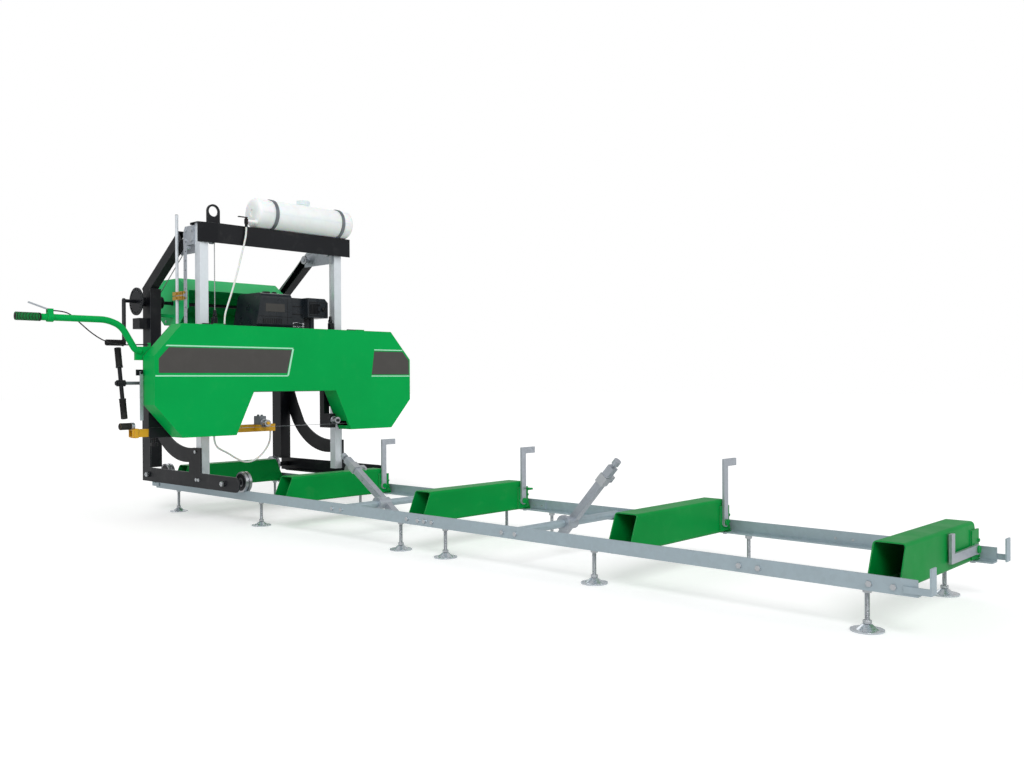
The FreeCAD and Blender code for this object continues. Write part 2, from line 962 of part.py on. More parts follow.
def rest_bracket(place):
    """The bracket plate with the pivot pin of a log rest, on the right face of a bunk."""
    face = place + S.bunk_wide / 2
    front = face + S.bracket_thick
    pivot = (S.rest_pivot_y, S.rest_pivot_z)
    arm_front = front + S.rest_gap * 2 + S.rest_thick
    solids = [
        box((face, front), (S.bracket_in, S.bracket_out), (S.bracket_low, S.bracket_top)),
        rod("x", pivot, S.rest_pin_radius, (face, arm_front + S.rest_head_tall)),
        rod("x", pivot, S.rest_head_radius, (arm_front, arm_front + S.rest_head_tall)),
    ]
    for step in (-1, 0, 1):
        spot = (S.bracket_bolt_y, S.rest_pivot_z + S.bracket_bolt_pitch * step)
        solids.append(rod("x", spot, S.bracket_bolt_radius, (face, front + S.bracket_bolt_tall)))
    if place is S.bunk_three:
        spot = (S.bracket_bolt_y, S.bracket_top - S.wing_radius * 2)
        end = front + S.wing_reach
        solids.append(rod("x", spot, S.wing_radius, (face, end)))
        solids.append(rod("y", (end, spot[1]), S.wing_radius,
                          (spot[0] - S.wing_half, spot[0] + S.wing_half / 4)))
    return weld(*solids)


def log_rest(place, folded):
    """An L-shaped arm on its pivot; raised it stands up, folded it lies along the bunk."""
    back = place + S.bunk_wide / 2 + S.bracket_thick + S.rest_gap
    span = (back, back + S.rest_thick)
    half = S.rest_wide / 2
    y, z = S.rest_pivot_y, S.rest_pivot_z
    if folded:
        arm = box(span, (y - S.rest_arm, y), (z - half, z + half))
        leg = box(span, (y - S.rest_arm, y - S.rest_arm + S.rest_wide), (z, z + half + S.rest_leg))
    else:
        arm = box(span, (y - half, y + half), (z, z + S.rest_arm))
        leg = box(span, (y, y + half + S.rest_leg), (z + S.rest_arm - S.rest_wide, z + S.rest_arm))
    boss = rod("x", (y, z), S.rest_boss_radius, span)
    over = S.rest_thick
    bore = rod("x", (y, z), S.rest_pin_radius + S.fit_gap, (span[0] - over, span[1] + over))
    return cut(weld(arm, leg, boss), bore)


def along(centre, lean, distance):
    """A point of a leaning post, at a distance from its bar."""
    return (centre[0] - sine(lean) * distance, centre[1] + cosine(lean) * distance)


def leaning_rod(centre, lean, y, radius, start, length):
    """A round bar along a leaning post."""
    thing = doc.addObject("Part::Cylinder", "Rod")
    thing.Placement = FreeCAD.Placement(Vector(), FreeCAD.Rotation(Vector(0, 1, 0), -lean.value))
    bind(thing, "Placement.Rotation.Angle", -lean)
    bind(thing, "Radius", radius)
    bind(thing, "Height", length)
    spot = along(centre, lean, start)
    return move(thing, spot[0], y, spot[1])


def clamp_post(bar, y, lean, length):
    """A leaning square tube with its collar round the cross bar and its screw knob."""
    centre = (bar, S.bar_high)
    half = S.clamp_side / 2
    post = plate("y", bar_corners(along(centre, lean, -S.clamp_tail), along(centre, lean, length),
                                  S.clamp_side), (y - half, y + half))
    wall = S.clamp_wall
    hollow = plate("y", bar_corners(along(centre, lean, S.collar_radius),
                                    along(centre, lean, length - wall), S.clamp_side - wall * 2),
                   (y - half + wall, y + half - wall))
    collar = rod("y", centre, S.collar_radius, (y - S.collar_half, y + half))
    hub = rod("y", centre, S.hub_radius, (y - S.collar_half - S.hub_wide, y - S.collar_half))
    bore = rod("y", centre, S.bar_radius + S.fit_gap, (y - S.collar_half * 2, y + S.collar_half * 2))
    stem = leaning_rod(centre, lean, y, S.knob_stem_radius, length - wall, wall + S.knob_stem_tall)
    knob = leaning_rod(centre, lean, y, S.knob_radius, length + S.knob_stem_tall, S.knob_tall)
    return weld(cut(weld(cut(post, hollow), collar, hub), bore), stem, knob)


def clamp_dog(bar, y, lean, length):
    """A sleeve that slides on the leaning post, with a hook towards the log rests."""
    centre = (bar, S.bar_high)
    high = length - S.dog_travel
    low = high - S.dog_long
    inner = S.clamp_side / 2 + S.slide_gap
    outer = inner + S.dog_wall
    over = S.dog_wall
    sleeve = plate("y", bar_corners(along(centre, lean, low), along(centre, lean, high), outer * 2),
                   (y - outer, y + outer))
    hole = plate("y", bar_corners(along(centre, lean, low - over), along(centre, lean, high + over), inner * 2),
                 (y - inner, y + inner))
    middle = low + S.dog_long / 2
    hook_half = S.dog_hook_tall / 2
    hook = plate("y", bar_corners(along(centre, lean, middle - hook_half),
                                  along(centre, lean, middle + hook_half), S.dog_hook_thick),
                 (y + outer, y + outer + S.dog_hook_reach))
    tip = plate("y", bar_corners(along(centre, lean, middle - hook_half - S.dog_hook_thick),
                                 along(centre, lean, middle), S.dog_hook_thick),
                (y + outer + S.dog_hook_reach - S.dog_hook_thick, y + outer + S.dog_hook_reach))
    return weld(cut(sleeve, hole), hook, tip)


def bunk_bolts():
    """Bolt heads below the bunks, left out where a levelling screw stands."""
    heads = []
    for (name, side), feet in zip(SIDES, (FRONT_FEET, REAR_FEET)):
        for place in BUNKS:
            for way in (-1, 1):
                spot = place + S.bunk_bolt_half * way
                if min(abs(spot.value - foot.value) for foot in feet) > S.nut_flat.value:
                    heads.append(bunk_bolt(spot, side))
    return heads


FEET = [(place, -1) for place in FRONT_FEET] + [(place, 1) for place in REAR_FEET]
BRACKETED = BUNKS[1:]
node("bunks", group(bunk(BUNKS[0]), *[weld(bunk(place), rest_bracket(place)) for place in BRACKETED]))
node("jack_screws", group(*[jack_screw(place, side) for place, side in FEET]))
node("foot_pads", group(*[foot_pad(place, side) for place, side in FEET]))
node("cross_bars", group(cross_bar(S.bar_one), cross_bar(S.bar_two)))
face_bolts = [face_bolt(place, side) for place in face_bolt_places() for name, side in SIDES]
node("track_bolts", group(*face_bolts, *bunk_bolts()))
for index, place in enumerate(BRACKETED):
    node(f"log_rest_{index + 1}", log_rest(place, place is BUNK_FIVE))
CLAMPS = (
    (S.bar_one, S.clamp_one_y, S.clamp_one_lean, S.clamp_one_length),
    (S.bar_two, S.clamp_two_y, S.clamp_two_lean, S.clamp_two_length),
)
for index, values in enumerate(CLAMPS):
    node(f"clamp_post_{index + 1}", clamp_post(*values))
    node(f"clamp_dog_{index + 1}", clamp_dog(*values))


# Carriage

PLATE_OUT = S.plate_in + S.plate_thick
ROLLER_Z = S.rail_base + S.rail_leg + S.groove_radius + S.roller_rest_gap
COLUMN_IN = S.plate_in - S.column_deep
POST_IN = S.post_y - S.post_side / 2
POST_BACK = S.post_x - S.post_side / 2
BEAM_UNDER = S.beam_top - S.beam_wall


def side_frame(side):
    """A side plate with its sill, nose, knee and window, a flange along the sill and two stub axles."""
    nose = (S.sill_top - S.sill_low) / 2
    outline = [
        (S.frame_back, S.sill_low), (S.sill_nose_x, S.sill_low),
        (S.sill_nose_x, S.sill_top), (S.web_front, S.sill_top), (S.web_front, S.web_top),
        (S.knee_shoulder_x, S.web_top, S.knee_radius, 1), (S.knee_mid_x, S.knee_mid_z),
        (S.knee_high_x, S.knee_high_z), (S.column_front, S.knee_top_z), (S.frame_back, S.knee_top_z),
    ]
    window = [
        (S.column_front, S.sill_top), (S.web_back, S.sill_top),
        (S.web_back, S.window_right_z, S.window_radius, 1), (S.window_arc_x, S.window_arc_z),
        (S.column_front, S.window_top_z),
    ]
    span = mirror_pair(S.plate_in, PLATE_OUT, side)
    over = S.plate_thick
    sheet_metal = cut(plate("y", outline, span),
                      plate("y", window, mirror_pair(S.plate_in - over, PLATE_OUT + over, side)))
    flange = box((S.roller_rear_x + S.axle_head_radius, S.roller_front_x - S.axle_head_radius),
                 mirror_pair(S.plate_in - S.sill_flange_reach, S.plate_in, side),
                 (S.sill_low, S.sill_low + S.sill_flange_thick))
    solids = [sheet_metal, flange, rod("y", (S.sill_nose_x, S.sill_low + nose), nose, span)]
    roller_out = S.roller_y + S.roller_wide / 2
    roller_in = S.roller_y - S.roller_wide / 2
    for place in (S.roller_front_x, S.roller_rear_x):
        spot = (place, ROLLER_Z)
        solids.append(rod("y", spot, S.axle_radius,
                          mirror_pair(roller_in - S.axle_head_tall, S.plate_in, side)))
        solids.append(rod("y", spot, S.axle_head_radius,
                          mirror_pair(roller_out + S.washer_gap, S.plate_in, side)))
        solids.append(rod("y", spot, S.axle_head_radius,
                          mirror_pair(roller_in - S.axle_head_tall, roller_in - S.washer_gap, side)))
        solids.append(hexagon("y", spot, S.axle_head_radius * 2,
                              mirror_pair(PLATE_OUT, PLATE_OUT + S.axle_head_tall, side)))
    return weld(*solids)


def grooved_roller(place, side):
    """A track roller with a groove for the rail's edge and a bore for its axle."""
    spot = (place, ROLLER_Z)
    half = S.roller_wide / 2
    middle = S.roller_y * side
    wheel = rod("y", spot, S.flange_radius, (middle - half, middle + half))
    slot = S.groove_wide / 2
    ring = pipe("y", spot, S.flange_radius + S.groove_wide, S.flange_radius + S.groove_wide - S.groove_radius,
                (middle - slot, middle + slot))
    bore = rod("y", spot, S.axle_radius + S.fit_gap, (middle - S.roller_wide, middle + S.roller_wide))
    return cut(wheel, ring, bore)


def front_post(side):
    """A square post up into the top beam, with the pin of its beam sheave."""
    half = S.post_side / 2
    post = square_tube("z", (S.post_x, S.post_y * side), half, half, S.post_wall,
                       (S.post_bottom, BEAM_UNDER))
    inner = S.drum_y - S.sheave_wide / 2
    spot = (S.post_x, S.beam_sheave_z)
    pin = rod("y", spot, S.sheave_pin_radius, mirror_pair(inner - S.sheave_rim, POST_IN, side))
    collar = rod("y", spot, S.sheave_pin_radius * 2,
                 mirror_pair(S.drum_y + S.sheave_wide / 2 + S.washer_gap, POST_IN, side))
    head = rod("y", spot, S.sheave_pin_radius * 2,
               mirror_pair(inner - S.sheave_rim, inner - S.washer_gap, side))
    return weld(post, pin, collar, head)


def brace_corners(wide, over=0):
    """The outline of a brace in X and Z."""
    run = (S.brace_front_x - S.brace_back_x, S.brace_front_z - S.brace_back_z)
    length = root(run[0] * run[0] + run[1] * run[1])
    step = (run[0] / length * over, run[1] / length * over)
    start = (S.brace_back_x - step[0], S.brace_back_z - step[1])
    end = (S.brace_front_x + step[0], S.brace_front_z + step[1])
    return bar_corners(start, end, wide)


def brace_solid(side):
    """The full outline of a brace, which trims the column below it."""
    return plate("y", brace_corners(S.brace_tall), mirror_pair(COLUMN_IN, PLATE_OUT, side))


def top_brace(side):
    """A channel from the rear column up to the gusset plates, open inward."""
    outer = plate("y", brace_corners(S.brace_tall), mirror_pair(POST_IN, S.plate_in, side))
    inner = plate("y", brace_corners(S.brace_tall - S.brace_wall * 2, S.brace_wall),
                  mirror_pair(POST_IN - S.brace_wall, S.plate_in - S.brace_wall, side))
    return cut(outer, inner)


def rear_column(side):
    """A rectangular column with the hole for the winch shaft, trimmed below the brace."""
    middle = ((S.frame_back + S.column_front) / 2, (COLUMN_IN + S.column_deep / 2) * side)
    tube = square_tube("z", middle, (S.column_front - S.frame_back) / 2, S.column_deep / 2, S.column_wall,
                       (S.sill_top, S.column_top))
    hole = rod("y", (S.winch_x, S.winch_z), S.shaft_hole_radius,
               mirror_pair(COLUMN_IN - S.column_wall, PLATE_OUT, side))
    above = box((S.frame_back - S.column_wall, S.column_front + S.column_wall),
                mirror_pair(COLUMN_IN - S.column_wall, PLATE_OUT, side),
                (S.column_top - S.brace_wall, S.column_top + S.brace_tall))
    return cut(tube, hole, brace_solid(side), above)


def top_beam():
    """A channel over the posts, open below and behind, with a slanted end and the lifting eye."""
    front, back = S.beam_front, S.beam_back
    left = [(S.beam_left_front, S.beam_left_end), (front, S.beam_left)]
    cap = [(back, S.beam_left_end), left[0], left[1], (front, S.beam_right), (back, S.beam_right)]
    flange = plate("z", cap, (BEAM_UNDER, S.beam_top))
    web = box((front - S.beam_wall, front), (S.beam_left, S.beam_right), (S.beam_low, S.beam_top))
    slanted = plate("z", bar_corners(left[0], left[1], S.beam_wall, S.beam_wall / 2), (S.beam_low, S.beam_top))
    lip = box((back, back + S.beam_wall), (S.beam_left_end, S.beam_right),
              (BEAM_UNDER - S.beam_wall * 2, S.beam_top))
    face = (S.eye_front - S.eye_thick, S.eye_front)
    foot = box(face, (S.eye_y - S.eye_radius, S.eye_y + S.eye_radius), (BEAM_UNDER, S.eye_z))
    ring = rod("x", (S.eye_y, S.eye_z), S.eye_radius, face)
    hole = rod("x", (S.eye_y, S.eye_z), S.eye_hole_radius, (face[0] - S.eye_thick, face[1] + S.eye_thick))
    return weld(flange, web, slanted, lip, cut(weld(foot, ring), hole))


def gusset_plates(side):
    """Two plates that join a post to its brace, with the pin of the rear sheave."""
    inner_face = POST_IN - S.gusset_thick
    corner, thick = S.gusset_corner_x, S.gusset_thick
    shape = [(S.gusset_back, S.gusset_low), (S.gusset_front, S.gusset_low), (S.gusset_front, S.gusset_top),
             (corner, S.gusset_top), (S.gusset_back, S.gusset_corner_z)]
    inner = plate("y", shape, mirror_pair(inner_face, POST_IN, side))
    shape = [(corner, S.gusset_outer_low), (POST_BACK, S.gusset_outer_low), (POST_BACK, S.gusset_top),
             (corner + S.gusset_corner, S.gusset_top), (corner, S.gusset_top - S.gusset_corner * 2)]
    outer = plate("y", shape, mirror_pair(S.plate_in, S.plate_in + thick, side))
    sheave_in = S.drum_y - S.sheave_wide / 2
    spot = (S.rear_sheave_x, S.rear_sheave_z)
    pin = rod("y", spot, S.sheave_pin_radius, mirror_pair(sheave_in - S.sheave_rim, POST_IN, side))
    collar = rod("y", spot, S.sheave_pin_radius * 2,
                 mirror_pair(S.drum_y + S.sheave_wide / 2 + S.washer_gap, POST_IN, side))
    head = rod("y", spot, S.sheave_pin_radius * 2,
               mirror_pair(sheave_in - S.sheave_rim, sheave_in - S.washer_gap, side))
    tie = box((corner, corner + thick), mirror_pair(inner_face, S.plate_in + thick, side),
              (S.gusset_corner_z, S.gusset_top - S.gusset_corner * 2))
    pin_hole = rod("y", (S.post_x, S.beam_sheave_z), S.sheave_pin_radius * 2,
                   mirror_pair(inner_face - S.gusset_thick, POST_IN + S.gusset_thick, side))
    return weld(cut(inner, pin_hole), outer, pin, collar, head, tie)


def sheave(place, high, radius, side):
    """A rope sheave with a groove and a bore."""
    spot = (place, high)
    half = S.sheave_wide / 2
    middle = S.drum_y * side
    wheel = rod("y", spot, radius, (middle - half, middle + half))
    slot = S.sheave_groove_wide / 2
    ring = pipe("y", spot, radius + S.sheave_rim, S.sheave_rim * 2, (middle - slot, middle + slot))
    bore = rod("y", spot, S.sheave_pin_radius + S.fit_gap,
               (middle - S.sheave_wide, middle + S.sheave_wide))
    return cut(wheel, ring, bore)


def winch_crank():
    """The winch shaft with its two drums, the crank arm and its grip."""
    spot = (S.winch_x, S.winch_z)
    arm_out = S.winch_left
    arm_in = arm_out + S.crank_thick
    solids = [rod("y", spot, S.shaft_radius, (arm_out, S.winch_right))]
    for name, side in SIDES:
        half = S.drum_wide / 2
        middle = S.drum_y * side
        solids.append(rod("y", spot, S.drum_radius, (middle - half, middle + half)))
        for way in (-1, 1):
            edge = middle + half * way
            solids.append(rod("y", spot, S.drum_radius + S.drum_rim, (edge - S.drum_rim_thick * way, edge)))
    low = S.winch_z - S.crank_length
    half = S.crank_wide / 2
    solids.append(box((S.winch_x - half, S.winch_x + half), (arm_out, arm_in), (low, S.winch_z)))
    solids.append(rod("y", spot, half, (arm_out, arm_in)))
    solids.append(rod("y", (S.winch_x, low), half, (arm_out, arm_in)))
    solids.append(rod("y", (S.winch_x, low), S.crank_knob_radius,
                      (arm_out - S.crank_knob_long, arm_out)))
    solids.append(rod("y", spot, half * 2 / 3, (arm_in, S.index_y - S.index_thick * 2)))
    return weld(*solids)


def winch_bearings():
    """Flange bearings on the rear columns, the index plate with its ring of holes and the catch box."""
    spot = (S.winch_x, S.winch_z)
    solids = []
    for name, side in SIDES:
        solids.append(rod("y", spot, S.bearing_radius,
                          mirror_pair(S.plate_in, S.plate_in + S.bearing_thick, side)))
    solids.append(rod("y", spot, S.bearing_radius, (S.index_y, -S.plate_in)))
    face = (S.index_y - S.index_thick, S.index_y)
    plain = rod("y", spot, S.index_radius, face)
    holes = []
    for step in range(int(S.index_hole_count.value)):
        angle = as_size(FULL_TURN) * step / S.index_hole_count
        place = (S.winch_x + cosine(angle) * S.index_hole_ring, S.winch_z + sine(angle) * S.index_hole_ring)
        holes.append(rod("y", place, S.index_hole_radius, (face[0] - S.index_thick, face[1] + S.index_thick)))
    solids.append(cut(plain, *holes))
    solids.append(box((S.winch_x - S.box_half, S.winch_x + S.box_half), (face[0], -S.plate_in),
                      (S.box_low, S.box_high)))
    bore = rod("y", spot, S.shaft_radius + S.fit_gap, (S.winch_left, S.winch_right + S.bearing_thick * 3))
    return cut(weld(*solids), bore)


HOOD_FRONT = S.hood_back + S.hood_deep


def hood_outline(inset=0):
    """The hexagonal section of the winch hood in X and Z, open at the lower front."""
    chamfer = (HOOD_FRONT - S.hood_back) * S.hood_chamfer_share
    drop = (S.hood_top - S.hood_low) * S.hood_chamfer_share
    low = (S.hood_top - S.hood_low) * S.hood_back_low_share
    return [
        (S.hood_back + inset, S.hood_low + low), (S.hood_back + chamfer, S.hood_low + inset),
        (HOOD_FRONT - chamfer, S.hood_low + inset), (HOOD_FRONT - inset, S.hood_low + low),
        (HOOD_FRONT - inset, S.hood_top - drop - inset / 2), (HOOD_FRONT - chamfer, S.hood_top - inset),
        (S.hood_back + chamfer, S.hood_top - inset), (S.hood_back + inset, S.hood_top - drop - inset / 2),
    ]


def winch_hood():
    """A sheet hood over the middle of the winch shaft, with feet that reach the rear columns."""
    outer = plate("y", hood_outline(), (S.hood_left, S.hood_right))
    thick = S.hood_thick
    inner = plate("y", hood_outline(thick), (S.hood_left + thick, S.hood_right - thick))
    shaft = rod("y", (S.winch_x, S.winch_z), S.shaft_hole_radius,
                (S.hood_left - S.drum_wide, S.hood_right + S.drum_wide))
    chamfer = (HOOD_FRONT - S.hood_back) * S.hood_chamfer_share
    mouth = box((S.hood_back + chamfer + thick, HOOD_FRONT + thick),
                (S.hood_left + thick, S.hood_right - thick),
                (S.hood_low - thick, S.hood_top - (S.hood_top - S.hood_low) * S.hood_chamfer_share))
    feet = []
    for edge, side in ((S.hood_left, -1), (S.hood_right, 1)):
        feet.append(box((S.frame_back, S.frame_back + S.hood_foot), (edge, COLUMN_IN * side),
                        (S.hood_low + S.hood_foot, S.hood_low + S.hood_foot * 1.5)))
    return weld(cut(outer, inner, shaft, mouth), *feet)


node("side_frame_left", side_frame(-1))
node("side_frame_right", side_frame(1))
for label, place in (("front_rollers", S.roller_front_x), ("rear_rollers", S.roller_rear_x)):
    node(label, group(*[grooved_roller(place, side) for name, side in SIDES]))
node("front_posts", group(*[front_post(side) for name, side in SIDES]))
node("rear_columns", group(*[rear_column(side) for name, side in SIDES]))
node("top_braces", group(*[top_brace(side) for name, side in SIDES]))
node("top_beam", top_beam())
node("gusset_plates", group(*[gusset_plates(side) for name, side in SIDES]))
node("rear_sheaves", group(*[sheave(S.rear_sheave_x, S.rear_sheave_z, S.rear_sheave_radius, side)
                             for name, side in SIDES]))
node("beam_sheaves", group(*[sheave(S.post_x, S.beam_sheave_z, S.beam_sheave_radius, side)
                             for name, side in SIDES]))
node("winch_crank", winch_crank())
node("winch_bearings", winch_bearings())
node("winch_hood", winch_hood())


def swept(edges, radius):
    """A round solid along joined lines and arcs."""
    wire = Part.Wire([edge.toShape() for edge in edges])
    first = edges[0]
    start = first.value(first.FirstParameter)
    heading = first.tangent(first.FirstParameter)[0]
    profile = Part.Wire([Part.Circle(start, heading, radius).toShape()])
    return wire.makePipeShell([profile], True, False)


def rounded_route(label, points, share=0.45):
    """Straight runs joined by tangent arcs, each as large as its two runs allow."""
    edges = []
    last = points[0]
    radii = []
    for before, corner, after in zip(points, points[1:], points[2:]):
        back, ahead = before - corner, after - corner
        shorter = min(back.Length, ahead.Length)
        reach = shorter * share
        half_turn = (math.pi - back.getAngle(ahead)) / 2
        radii.append(reach / math.tan(half_turn))
        back.normalize()
        ahead.normalize()
        first, second = corner + back * reach, corner + ahead * reach
        middle = (back + ahead)
        middle.normalize()
        depth = radii[-1] / math.cos(half_turn) - radii[-1]
        edges.append(Part.LineSegment(last, first))
        edges.append(Part.Arc(first, corner + middle * depth, second))
        last = second
    edges.append(Part.LineSegment(last, points[-1]))
    length = sum(edge.length() for edge in edges)
    print(label, "radii", [round(radius) for radius in radii], "length", round(length))
    return edges, length


def feature(shape):
    """A plain solid made from a shape."""
    thing = doc.addObject("Part::Feature", "Tube")
    thing.Shape = shape
    thing.Placement = FreeCAD.Placement()
    return thing


def cord(label, points, radius):
    """A round hose or cable along a route of points."""
    edges, length = rounded_route(label, [Vector(*point) for point in points])
    solid = swept(edges, radius.value)
    print(label, "volume share", round(solid.Volume / (math.pi * radius.value ** 2 * length), 4))
    return feature(solid)


def outer_tangent(first, first_radius, second, second_radius):
    """The tangent points above two circles of the XZ plane, from the first to the second."""
    run = second - first
    length = run.Length
    run.normalize()
    up = Vector(-run.z, 0, run.x)
    lean = (first_radius - second_radius) / length
    normal = run * lean + up * math.sqrt(1 - lean * lean)
    return first + normal * first_radius, second + normal * second_radius


def upper_rope(side):
    """A lift rope from its drum over the rear sheave and round the beam sheave."""
    y = S.drum_y.value * side
    rope = S.rope_radius.value + S.rope_slack.value
    drum = Vector(S.winch_x.value, y, S.winch_z.value)
    rear = Vector(S.rear_sheave_x.value, y, S.rear_sheave_z.value)
    front = Vector(S.post_x.value, y, S.beam_sheave_z.value)
    rear_radius = S.rear_sheave_radius.value - S.sheave_rim.value + rope
    front_radius = S.beam_sheave_radius.value - S.sheave_rim.value + rope
    start, over = outer_tangent(drum, S.drum_radius.value + rope, rear, rear_radius)
    away, onto = outer_tangent(rear, rear_radius, front, front_radius)
    middle = over + away - rear * 2
    middle.normalize()
    last = front + Vector(front_radius, 0, 0)
    bend = onto + last - front * 2
    bend.normalize()
    low = Vector(last.x, y, S.rope_split_z.value)
    edges = [
        Part.LineSegment(start, over),
        Part.Arc(over, rear + middle * rear_radius, away),
        Part.LineSegment(away, onto),
        Part.Arc(onto, front + bend * front_radius, last),
        Part.LineSegment(last, low),
    ]
    return feature(swept(edges, S.rope_radius.value))


ROPE_X = S.post_x + S.beam_sheave_radius - S.sheave_rim + S.rope_radius + S.rope_slack
NECK_TOP = S.tank_z + S.tank_radius + S.neck_tall
NOZZLE_TOP = S.nozzle_z + S.elbow_radius


def water_tank():
    """A round tank on the beam with its filler neck and its outlet elbow."""
    tank = rod("y", (S.tank_x, S.tank_z), S.tank_radius, (S.tank_left, S.tank_right))
    neck = rod("z", (S.tank_x, S.neck_y), S.neck_radius, (S.tank_z, NECK_TOP))
    outlet = rod("y", (S.nozzle_x, S.nozzle_z), S.nozzle_radius,
                 (S.nozzle_y, S.tank_left + S.tank_wall))
    elbow = rod("z", (S.nozzle_x, S.nozzle_y), S.elbow_radius,
                (S.nozzle_z - S.nozzle_drop, NOZZLE_TOP))
    wall = S.tank_wall
    hollow = rod("y", (S.tank_x, S.tank_z), S.tank_radius - wall, (S.tank_left + wall, S.tank_right - wall))
    mouth = rod("z", (S.tank_x, S.neck_y), S.neck_radius - wall, (S.tank_z, NECK_TOP + wall))
    return cut(weld(tank, neck, outlet, elbow), hollow, mouth)


def tank_strap(place):
    """A band over the tank down to the beam."""
    outer = S.tank_radius + S.strap_gap + S.strap_thick
    band = pipe("y", (S.tank_x, S.tank_z), outer, S.strap_thick, (place, place + S.strap_wide))
    below = box((S.tank_x - outer, S.tank_x + outer), (place - S.strap_thick, place + S.strap_wide * 2),
                (S.tank_z - outer * 2, S.beam_top))
    return cut(band, below)


def tank_cap():
    """A screw cap over the filler neck."""
    spot = (S.tank_x, S.neck_y)
    top = NECK_TOP + S.strap_gap + S.cap_wall
    cavity = rod("z", spot, S.neck_radius + S.slide_gap, (top - S.cap_tall * 2, top - S.cap_wall))
    return cut(rod("z", spot, S.cap_radius, (top - S.cap_tall, top)), cavity)


def valve_lever():
    """The lever of the outlet valve on its hub."""
    low = NOZZLE_TOP + S.strap_gap
    spot = (S.nozzle_x, S.nozzle_y)
    hub = rod("z", spot, S.hub_radius_small, (low, low + S.hub_small_tall))
    half = S.lever_wide / 2
    lever = box((S.nozzle_x - half, S.nozzle_x + half), (S.nozzle_y - S.lever_long, S.nozzle_y + half),
                (low + S.hub_small_tall - S.lever_thick, low + S.hub_small_tall))
    return weld(hub, lever)


def ruler_bar():
    """The height scale on its arm, with the forked guide of the depth rod."""
    half = S.ruler_wide / 2
    thin = S.ruler_thick / 2
    bar = box((S.ruler_x - half, S.ruler_x + half), (S.ruler_y - thin, S.ruler_y + thin),
              (S.ruler_low, S.ruler_high))
    arm = box((S.ruler_x - half, S.ruler_x + half), (S.ruler_y + thin, -(S.plate_in + S.gusset_thick)),
              (S.ruler_arm_low, S.ruler_arm_low + S.ruler_wide / 2))
    deep = S.pointer_deep / 2
    pointer = box((S.rod_x - S.pointer_over, S.ruler_x), (S.ruler_y - deep, S.ruler_y + deep),
                  (S.pointer_z, S.pointer_z + S.pointer_tall))
    slot_half = S.pointer_slot_half
    slot = box((S.rod_x - slot_half, S.rod_x + slot_half), (S.ruler_y - S.pointer_deep, S.ruler_y),
               (S.pointer_z - S.pointer_tall, S.pointer_z + S.pointer_tall * 2))
    bore = rod("z", (S.rod_x, S.rod_y), slot_half,
               (S.pointer_z - S.pointer_tall, S.pointer_z + S.pointer_tall * 2))
    return weld(bar, arm, cut(pointer, slot, bore))


def frame_bolts(side):
    """Bolt heads on the outer faces of one side frame and its gusset plate."""
    spots = [(S.web_bolt_x, S.web_bolt_z, S.plate_thick), (S.sill_bolt_left, S.sill_bolt_z, S.plate_thick),
             (S.sill_bolt_right, S.sill_bolt_z, S.plate_thick)]
    inset = S.gusset_bolt_inset
    for place in (S.gusset_corner_x + inset, POST_BACK - inset):
        for high in (S.gusset_outer_low + inset, S.gusset_top - inset):
            spots.append((place, high, S.gusset_thick))
    heads = []
    for place, high, thick in spots:
        face = S.plate_in + thick
        heads.append(hexagon("y", (place, high), S.bolt_head_radius * 2,
                             mirror_pair(face, face + S.bolt_head_tall, side)))
    return heads


HOSE_ROUTE = [
    (-1497, -207, 1606), (-1497, -207, 1573), (-1494, -220, 1520), (-1488, -248, 1430), (-1481, -280, 1330),
    (-1473, -315, 1235), (-1465, -347, 1158), (-1460, -367, 1104), (-1460, -367, 1062),
]

node("water_tank", water_tank())
node("tank_straps", group(tank_strap(S.strap_left), tank_strap(S.strap_right)))
node("tank_cap", tank_cap())
node("tank_valve_lever", valve_lever())
node("ruler_bar", ruler_bar())
node("carriage_bolts", group(*frame_bolts(-1), *frame_bolts(1)))
node("lift_ropes_upper", group(*[upper_rope(side) for name, side in SIDES]))
node("lift_ropes_lower", group(*[rod("z", (ROPE_X, S.drum_y * side), S.rope_radius,
                                     (S.rope_low_z, S.rope_split_z)) for name, side in SIDES]))
node("coolant_hose", cord("coolant_hose", HOSE_ROUTE, S.coolant_radius))


# Saw head

WHEEL_BACK = S.wheel_front - S.wheel_wide
TUBE_MIDDLE = ((S.tube_back + S.tube_front) / 2, S.wheel_z)
BLADE_TOP = S.wheel_z - S.wheel_radius - S.blade_gap
GUIDE_Z = BLADE_TOP + S.guide_touch + S.guide_roller_radius
ARM_FRONT = S.arm_back + S.arm_side
ARM_TOP = S.arm_low + S.arm_side


def head_outline():
    """The outline of the wheel cover in Y and Z, with its throat."""
    right = [
        (S.cover_top_y, S.cover_top), (S.cover_side, S.cover_shoulder_z), (S.cover_side, S.cover_hip_z),
        (S.cover_bottom_y, S.cover_bottom), (S.throat_low_y, S.cover_bottom), (S.throat_y, S.throat_z),
    ]
    return right + [(-y, z) for y, z in reversed(right)]


def guide_block(y):
    """A block in front of the guide arm with the pin of its guide roller."""
    half = S.guide_half
    pin_end = S.guide_roller_front + S.washer_gap + S.axle_cap_tall
    spot = (y, GUIDE_Z)
    return [
        box((ARM_FRONT, S.guide_front), (y - half, y + half), (S.guide_low, S.guide_top)),
        rod("x", spot, S.guide_pin_radius, (S.guide_front, pin_end)),
        rod("x", spot, S.guide_pin_radius * 1.5, (S.guide_roller_front + S.washer_gap, pin_end)),
    ]


def hinge_knuckle(y, half):
    """A knuckle of the cover hinge round its pin line."""
    return rod("y", (S.hinge_x, S.hinge_z), S.hinge_radius, (y - half, y + half))


